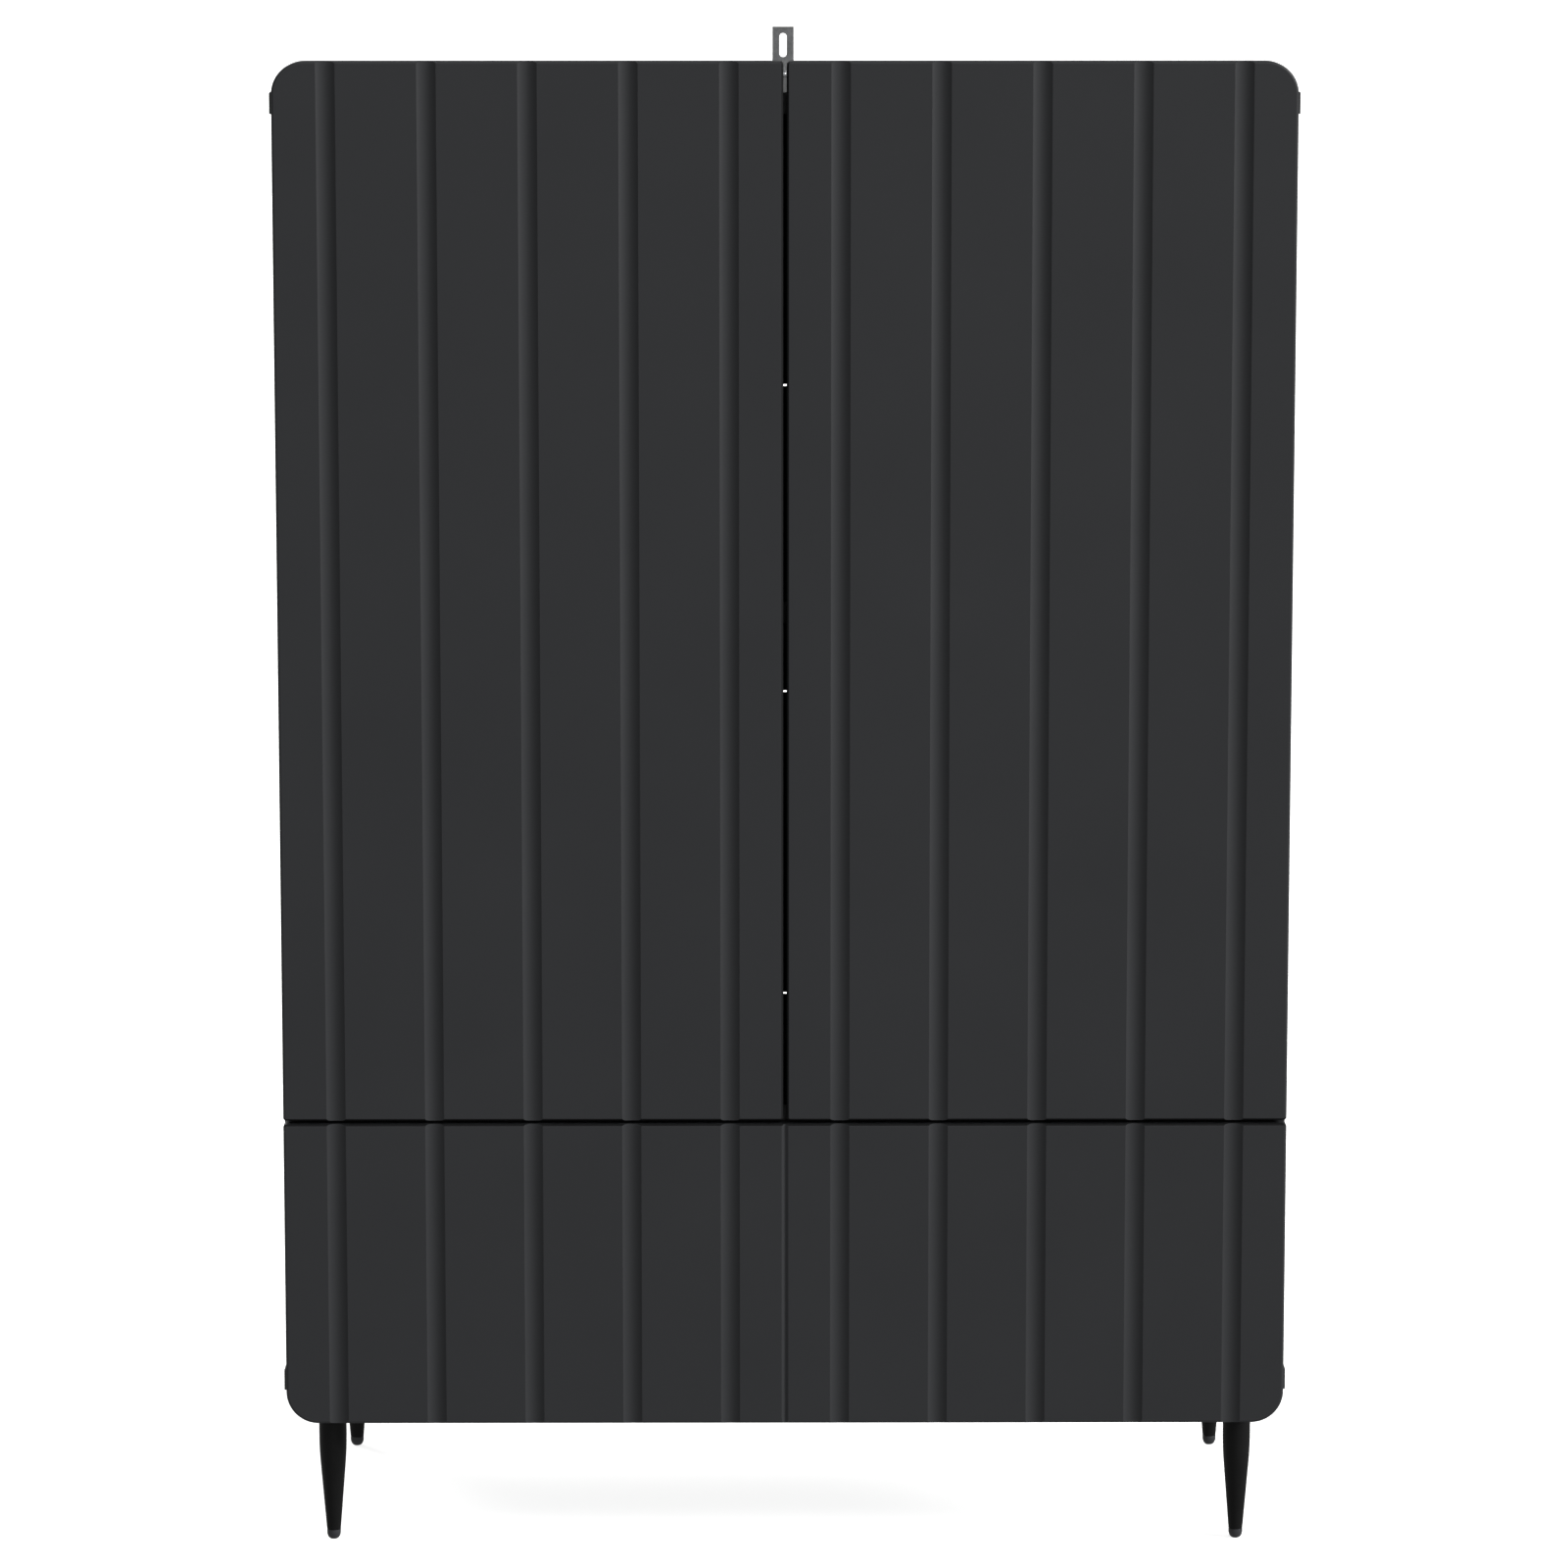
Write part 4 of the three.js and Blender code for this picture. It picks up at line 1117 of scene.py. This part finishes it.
        # Seen from above: along the plate, round the nose, up to the back and down at the far end.
        outline = [
            (sunk, end), (sunk, pin.y + 16 * MM), (pin.x - self.nose, pin.y + 5 * MM),
            *arc((pin.x, pin.y), self.nose, 180, 360, 14),
            (pin.x + self.nose, pin.y + 7 * MM), (top, pin.y + 20 * MM),
            (top, end - 6 * MM), (top - 3 * MM, end),
        ]
        arm = prism([(x, y, z - reach) for x, y in outline], (0, 0, 2 * reach))
        bevelled(arm, creases(arm, 60), self.arm_arris)
        plate = block((low.x, pin.y + self.plate_start, z - self.plate_half),
                      (face, high.y, z + self.plate_half), self.plate_arris)
        for addition in (plate, self.wings()):
            arm = combined(arm, [addition], Operation.JOIN)
        aside, ahead = 20 * MM, 7 * MM
        fork = block((pin.x - aside, pin.y - ahead, z - gap),
                     (pin.x + aside, pin.y + self.fork_end, z + gap))
        window = block(
            (top - self.window_depth, pin.y + self.window_start, z - self.window_half),
            (top + PAST, high.y - self.window_end, z + self.window_half),
        )
        return combined(arm, [fork, self.across(pin, reach + PAST, self.pin + self.clear, 24), window])

    def wings(self) -> Mesh:
        """Makes the plate's two wings as one round-ended strip.

        Returns:
            The strip.
        """
        low, high = self.boxes["arm"]
        y, half = self.arm_pin.y + self.wings_at, self.wing_half
        outline = [*arc((y, high.z - half), half, 0, 180, 14), *arc((y, low.z + half), half, 180, 360, 14)]
        return prism([(low.x, py, pz) for py, pz in outline], (self.wing_thick, 0, 0))

    def arm_screws(self) -> Mesh:
        """Makes the wood screws of the wings and the two adjusting screws on the arm.

        Returns:
            Their heads.
        """
        low, high = self.boxes["arm"]
        wings = self.arm_pin.y + self.wings_at
        heads = [WOOD_SCREW.mesh((low.x + self.wing_thick, wings, self.z + dz), (1, 0, 0))
                 for dz in (-self.wing_screw, self.wing_screw)]
        heads += [ADJUSTER.mesh((high.x - self.window_depth, self.arm_pin.y + dy, self.z), (1, 0, 0))
                  for dy in self.adjusters_at]
        return gathered(heads)

    def link(self) -> Mesh:
        """Makes the bowed link with an eye and a cross pin at each end.

        Returns:
            The link.
        """
        start, end = self.cup_pin.xy, self.arm_pin.xy
        along = (end - start).normalized()
        across = Vector((along.y, -along.x))
        steps = 16
        near, far = [], []
        for t in (i / steps for i in range(steps + 1)):
            middle = start.lerp(end, t) + across * 4 * self.bow * t * (1 - t)
            near.append(middle - across * self.strip / 2)
            far.append(middle + across * self.strip / 2)
        strip = prism([(p.x, p.y, self.z - self.link_half) for p in near + far[::-1]],
                      (0, 0, 2 * self.link_half))
        for spot in (start, end):
            for half, radius, facets in ((self.link_half, self.eye, 28),
                                         (self.link_half + self.cheek, self.pin, 20)):
                strip = combined(strip, [self.across(spot, half, radius, facets)], Operation.JOIN)
        return strip

    def cup(self) -> Mesh:
        """Makes the pressed cup with its winged flange and the ears that hold its pin.

        Returns:
            The cup.
        """
        low, high = self.boxes["cup"]
        x, pin = (low.x + high.x) / 2, self.cup_pin
        radius, depth = (high.x - low.x) / 2, high.y - low.y
        inner, rim, lip, crown, fillet = radius - self.wall, 0.3 * MM, 0.2 * MM, 2 * MM, 1.4 * MM
        profile = [(0, depth), (radius - crown, depth), (radius - crown * 0.3, depth - crown * 0.3),
                   (radius, depth - crown), (radius, rim), (radius - rim, 0), (inner + lip, 0), (inner, rim),
                   (inner, depth - self.wall - fillet), (inner - fillet, depth - self.wall),
                   (0, depth - self.wall)]
        lay = Matrix.Translation((x, high.y, self.z)) @ Matrix.Rotation(math.pi / 2, 4, "X")
        cup = turned(profile, lay, 64)
        half, overlap = self.flange_half, 1.5 * MM
        root, tip = radius - overlap, high.z - self.z - half
        wing = [(half, root), *arc((0, tip), half, 0, 180, 14), (-half, root)]
        gap = self.link_half + self.clear
        additions = [
            prism([(x + px, high.y - self.flange, self.z + end * pz) for px, pz in wing],
                  (0, self.flange, 0))
            for end in (-1, 1)
        ]
        for z in (self.z - gap - self.cheek, self.z + gap):
            additions.append(block((pin.x - self.ear_half, low.y + self.wall / 2, z),
                                   (pin.x + self.ear_half, pin.y + self.ear_past, z + self.cheek)))
        for addition in additions:
            cup = combined(cup, [addition], Operation.JOIN)
        return combined(cup, [self.across(pin, gap + self.cheek + PAST, self.pin + self.clear, 20)])

    def cup_screws(self) -> Mesh:
        """Makes the two screws through the cup's wings.

        Returns:
            Their heads.
        """
        low, high = self.boxes["cup"]
        inset = self.flange_screw_inset
        return gathered(self.flange_screw.mesh(((low.x + high.x) / 2, high.y, z), (0, 1, 0))
                        for z in (low.z + inset, high.z - inset))


# ---- Drawer -----------------------------------------------------------------------------------


@dataclass
class DrawerBox:
    """Sides, back and bottom of the drawer, and the angles that hold the front."""

    arris: float = 0.5 * MM  # rounding of the boards' edges
    panel_arris: float = 0.2 * MM  # rounding of the bottom panel's edges
    groove: float = 6 * MM  # depth of the groove for the bottom panel
    play: float = 0.3 * MM  # room above and below the panel in its groove
    angle_leg: float = 22 * MM  # length of each leg of the angles
    angle_thick: float = 1.5 * MM  # thickness of the angles
    angle_height: float = 30 * MM  # height of the angles
    angle_drop: float = 16 * MM  # angles below the top of the drawer's sides
    angle_arris: float = 0.3 * MM  # rounding of the angles' edges
    off_side: float = 0.1 * MM  # gap between an angle and its side
    off_front: float = 0.2 * MM  # gap between an angle and the front
    screw_inset: float = 7 * MM  # screws from the angles' ends
    front_screws_at: float = 13 * MM  # screws into the front, from the drawer's side
    side_screws_at: float = 14 * MM  # screws into the side, from the front

    def build(self) -> None:
        """Makes the drawer box."""
        bottom_low, bottom_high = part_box("drawer_bottom")
        for side in Side:
            node, sign = f"drawer_side_{side}", side.value
            low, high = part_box(node)
            inner = high.x if side is Side.LEFT else low.x
            x0, x1 = sorted((inner - sign * PAST, inner + sign * self.groove))
            slot = block((x0, low.y - PAST, bottom_low.z - self.play),
                         (x1, high.y + PAST, bottom_high.z + self.play))
            self.place(node, combined(block(low, high, self.arris, 3), [slot]))
            self.front_angle(side, inner, high.z - self.angle_drop)
        self.place("drawer_back", block(*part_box("drawer_back"), self.arris, 3))
        self.place("drawer_bottom", block(bottom_low, bottom_high, self.panel_arris, 1))

    def place(self, node: str, bm: Mesh) -> None:
        """Places one board of the box."""
        Piece(f"box_{node}", "drawer", "drawer_board", (MELAMINE_FOIL,), (node,)).place(bm)

    def front_angle(self, side: Side, inner: float, top: float) -> None:
        """Makes the pressed angle in a front corner that ties the box to the drawer front.

        Args:
            side: Side that it is on.
            inner: X of the inner face of the drawer's side.
            top: Height of the angle's top.
        """
        thick, base = self.angle_thick, top - self.angle_height
        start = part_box("drawer_front")[1].y + self.off_front

        def inward(distance: float) -> float:
            """Returns X at a distance from the drawer's side."""
            return inner - side.value * distance

        legs = []
        for length, end in ((self.angle_leg, start + thick),
                            (self.off_side + thick, start + self.angle_leg)):
            x0, x1 = sorted((inward(length), inward(self.off_side)))
            legs.append(block((x0, start, base), (x1, end, top)))
        angle = combined(legs[0], legs[1:], Operation.JOIN)
        bevelled(angle, creases(angle, 60), self.angle_arris)
        Piece(f"front_angle_{side}", "drawer", "zinc_steel", (GALVANISED_STRIP,)).place(angle)
        places = (((inward(self.front_screws_at), start + thick), (0, 1, 0)),
                  ((inward(self.off_side + thick), start + self.side_screws_at), (-side.value, 0, 0)))
        Piece.zinc(f"front_angle_screws_{side}", "drawer").place(gathered(
            WOOD_SCREW.mesh((*spot, z), facing) for spot, facing in places
            for z in (base + self.screw_inset, top - self.screw_inset)))


@dataclass
class Slide:
    """One telescopic slide: three nested channels, two ball cages and their screws."""

    side: Side
    metal: float = 1.2 * MM  # thickness of the steel
    lip_round: float = 0.5 * MM  # rounding along the channels' edges
    ball: float = 1.05 * MM  # radius of a ball
    balls: int = 9  # balls in each row of a cage
    cage: float = 120 * MM  # length of a ball cage
    cage_inset: float = 8 * MM  # cages from the ends of the middle channel
    strip: tuple[float, float] = (3.2 * MM, 0.5 * MM)  # width and thickness of a cage's strips
    # Screw of the outer and the inner channel.
    screw: Screw = field(default_factory=lambda: Screw(head=3.0 * MM, rise=0.9 * MM))
    # Places of the screws, as parts of a channel's length.
    screws_at: tuple[float, ...] = (0.08, 0.5, 0.92)

    def build(self) -> None:
        """Makes the slide."""
        for member in Member:
            node = f"slide_{member}_{self.side}"
            Piece(f"rail_{member}_{self.side}", member.value, "zinc_steel", (ROLLED_STEEL,), (node,)).place(
                mirrored(self.channel(member), self.side))
        self.cages()
        for member, facing in ((Member.OUTER, 1), (Member.INNER, -1)):
            Piece.zinc(f"slide_{member}_screws_{self.side}", member.value).place(
                mirrored(self.screws(member, facing), self.side))

    def channel(self, member: Member) -> Mesh:
        """Makes one channel of the left slide: a web with a flange at top and bottom.

        Args:
            member: Which channel.

        Returns:
            The channel.
        """
        low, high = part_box(f"slide_{member}_left")
        web, lip = (high.x, low.x) if member is Member.INNER else (low.x, high.x)
        floor = web + math.copysign(self.metal, lip - web)
        z0, z1 = low.z + self.metal, high.z - self.metal
        outline = [(web, low.z), (lip, low.z), (lip, z0), (floor, z0),
                   (floor, z1), (lip, z1), (lip, high.z), (web, high.z)]
        bm = prism([(x, low.y, z) for x, z in outline], (0, high.y - low.y, 0))
        lengthwise = [e for e in creases(bm, 60) if abs(e.verts[0].co.y - e.verts[1].co.y) > SAME]
        bevelled(bm, lengthwise, self.lip_round, 3)
        return bm

    def rows(self) -> list[Vector]:
        """Finds the four rows of balls of the left slide: two outside the middle channel, two inside.

        Returns:
            Where each row starts.
        """
        outer, middle, inner = (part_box(f"slide_{member}_left") for member in Member)
        rear, front = middle[1].y - self.cage_inset - self.cage, middle[0].y + self.cage_inset
        rows = []
        for (big_low, big_high), (small_low, small_high), start in ((outer, middle, rear),
                                                                    (middle, inner, front)):
            x = (max(big_low.x, small_low.x) + min(big_high.x, small_high.x)) / 2
            for z in (big_low.z + self.metal + small_low.z, small_high.z + big_high.z - self.metal):
                rows.append(Vector((x, start, z / 2)))
        return rows

    def cages(self) -> None:
        """Makes the balls between the channels and the strips that carry them."""
        body = Member.MIDDLE.value
        balls = bmesh.new()
        for start in self.rows():
            for i in range(self.balls):
                along = Vector((0, self.cage * (i + 0.5) / self.balls, 0))
                bmesh.ops.create_icosphere(balls, subdivisions=2, radius=self.ball,
                                           matrix=Matrix.Translation(start + along))
        Piece.zinc(f"slide_balls_{self.side}", body).place(mirrored(balls, self.side), crease=80)
        width, thick = self.strip
        strips = gathered(block(start - Vector((width / 2, 0, thick / 2)),
                                start + Vector((width / 2, self.cage, thick / 2))) for start in self.rows())
        Piece(f"slide_cages_{self.side}", body, "zinc_steel", (ROLLED_STEEL,)).place(
            mirrored(strips, self.side))

    def screws(self, member: Member, facing: int) -> Mesh:
        """Makes the screws through one channel of the left slide.

        Args:
            member: Which channel.
            facing: 1 where the heads look along X, -1 where they look back.

        Returns:
            The heads.
        """
        low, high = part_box(f"slide_{member}_left")
        x = low.x + self.metal if facing > 0 else high.x - self.metal
        z = (low.z + high.z) / 2
        return gathered(self.screw.mesh((x, low.y + (high.y - low.y) * share, z), (facing, 0, 0))
                        for share in self.screws_at)


# ---- Stage ------------------------------------------------------------------------------------


@dataclass
class Stage:
    """Pale floor that rises into a wall all round, soft lights and the camera.

    The floor and wall are seen by the camera only, so that they don't wash out the dark fronts.
    """

    eye: tuple[float, float, float] = (-0.025, -5.718, 1.533)  # place of the camera
    pitch: float = 8.58  # camera's tilt below the level, in degrees
    lens: float = 143.8  # focal length in millimetres on a 36 mm sensor
    # Each light's bearing to the right of the fronts, height, strength and width, with angles in degrees.
    lamps: dict[str, tuple[float, float, float, float]] = field(default_factory=lambda: {
        "key_light": (69.0, 28.0, 4.0, 22.0),
        "fill_light": (14.0, 24.0, 0.6, 25.0),
        "back_light": (-140.0, 35.0, 1.8, 25.0),
    })
    sky: float = 0.325  # strength of the even light from all round
    floor_glow: float = 0.82  # light that the floor and wall give off themselves
    floor_radius: float = 13.0  # radius of the flat part of the floor
    wall_curve: float = 3.0  # radius of the curve from the floor to the wall
    wall_top: float = 16.0  # height of the wall

    def build(self) -> None:
        """Makes the floor, the lights, the world and the camera."""
        bpy.context.scene.view_settings.view_transform = "Standard"
        self.floor()
        for name, (bearing, height, power, spread) in self.lamps.items():
            self.lamp(name, math.radians(bearing), math.radians(height), power, spread)
        self.world()
        self.camera()

    def floor(self) -> None:
        """Makes a round floor whose rim curves up into a wall."""
        curve = arc((self.floor_radius, self.wall_curve), self.wall_curve, -90, 0, 12)
        profile = [(0.0, 0.0), *curve, (self.floor_radius + self.wall_curve, self.wall_top)]
        bm = turned(profile, Matrix.Identity(4), 96)
        for face in bm.faces:
            face.smooth = True
        mesh = bpy.data.meshes.new("studio_floor")
        bm.to_mesh(mesh)
        bm.free()
        floor = bpy.data.objects.new("studio_floor", mesh)
        bpy.context.scene.collection.objects.link(floor)
        material = bpy.data.materials.new("painted_floor")
        material.use_nodes = True
        paint = material.node_tree.nodes["Principled BSDF"]
        paint.inputs["Base Color"].default_value = linear("#d8d8d7")
        paint.inputs["Roughness"].default_value = 0.9
        paint.inputs["Specular IOR Level"].default_value = 0.1
        paint.inputs["Emission Color"].default_value = (1.0, 1.0, 1.0, 1.0)
        paint.inputs["Emission Strength"].default_value = self.floor_glow
        mesh.materials.append(material)
        floor.visible_diffuse = False
        floor.visible_glossy = False
        floor.visible_shadow = False

    def lamp(self, name: str, bearing: float, height: float, power: float, spread: float) -> None:
        """Adds a broad, even light.

        Args:
            name: The light's name.
            bearing: To the right of the fronts, in radians.
            height: Above the horizon, in radians.
            power: Strength.
            spread: Width, in degrees.
        """
        lamp = bpy.data.lights.new(name, "SUN")
        lamp.energy = power
        lamp.angle = math.radians(spread)
        holder = bpy.data.objects.new(name, lamp)
        towards = Vector((math.cos(height) * math.sin(bearing), -math.cos(height) * math.cos(bearing),
                          math.sin(height)))
        holder.location = towards * 5
        holder.rotation_euler = (-towards).to_track_quat("-Z", "Y").to_euler()
        bpy.context.scene.collection.objects.link(holder)

    def world(self) -> None:
        """Sets an even pale sky."""
        world = bpy.data.worlds.new("studio")
        world.use_nodes = True
        background = world.node_tree.nodes["Background"]
        background.inputs["Color"].default_value = (1.0, 1.0, 1.0, 1.0)
        background.inputs["Strength"].default_value = self.sky
        bpy.context.scene.world = world

    def camera(self) -> None:
        """Adds the camera."""
        lens = bpy.data.cameras.new("camera")
        lens.lens = self.lens
        lens.sensor_width = 36.0
        lens.clip_end = 100.0
        holder = bpy.data.objects.new("camera", lens)
        holder.location = self.eye
        yaw = math.atan2(self.eye[0], -self.eye[1])
        holder.rotation_euler = (math.radians(90 - self.pitch), 0.0, yaw)
        bpy.context.scene.collection.objects.link(holder)
        bpy.context.scene.camera = holder


def main() -> None:
    """Builds the wardrobe and the stage."""
    logging.basicConfig(level=logging.INFO, format="%(name)s: %(message)s")
    Stage().build()
    Fronts().build()
    Carcass().build()
    for row in Row:
        for side in Side:
            Leg(row, side).build()
    WallBracket().build()
    for side in Side:
        for row in Level:
            Hinge(side, row).build()
        Slide(side).build()
    DrawerBox().build()


if __name__ == "__main__":
    main()
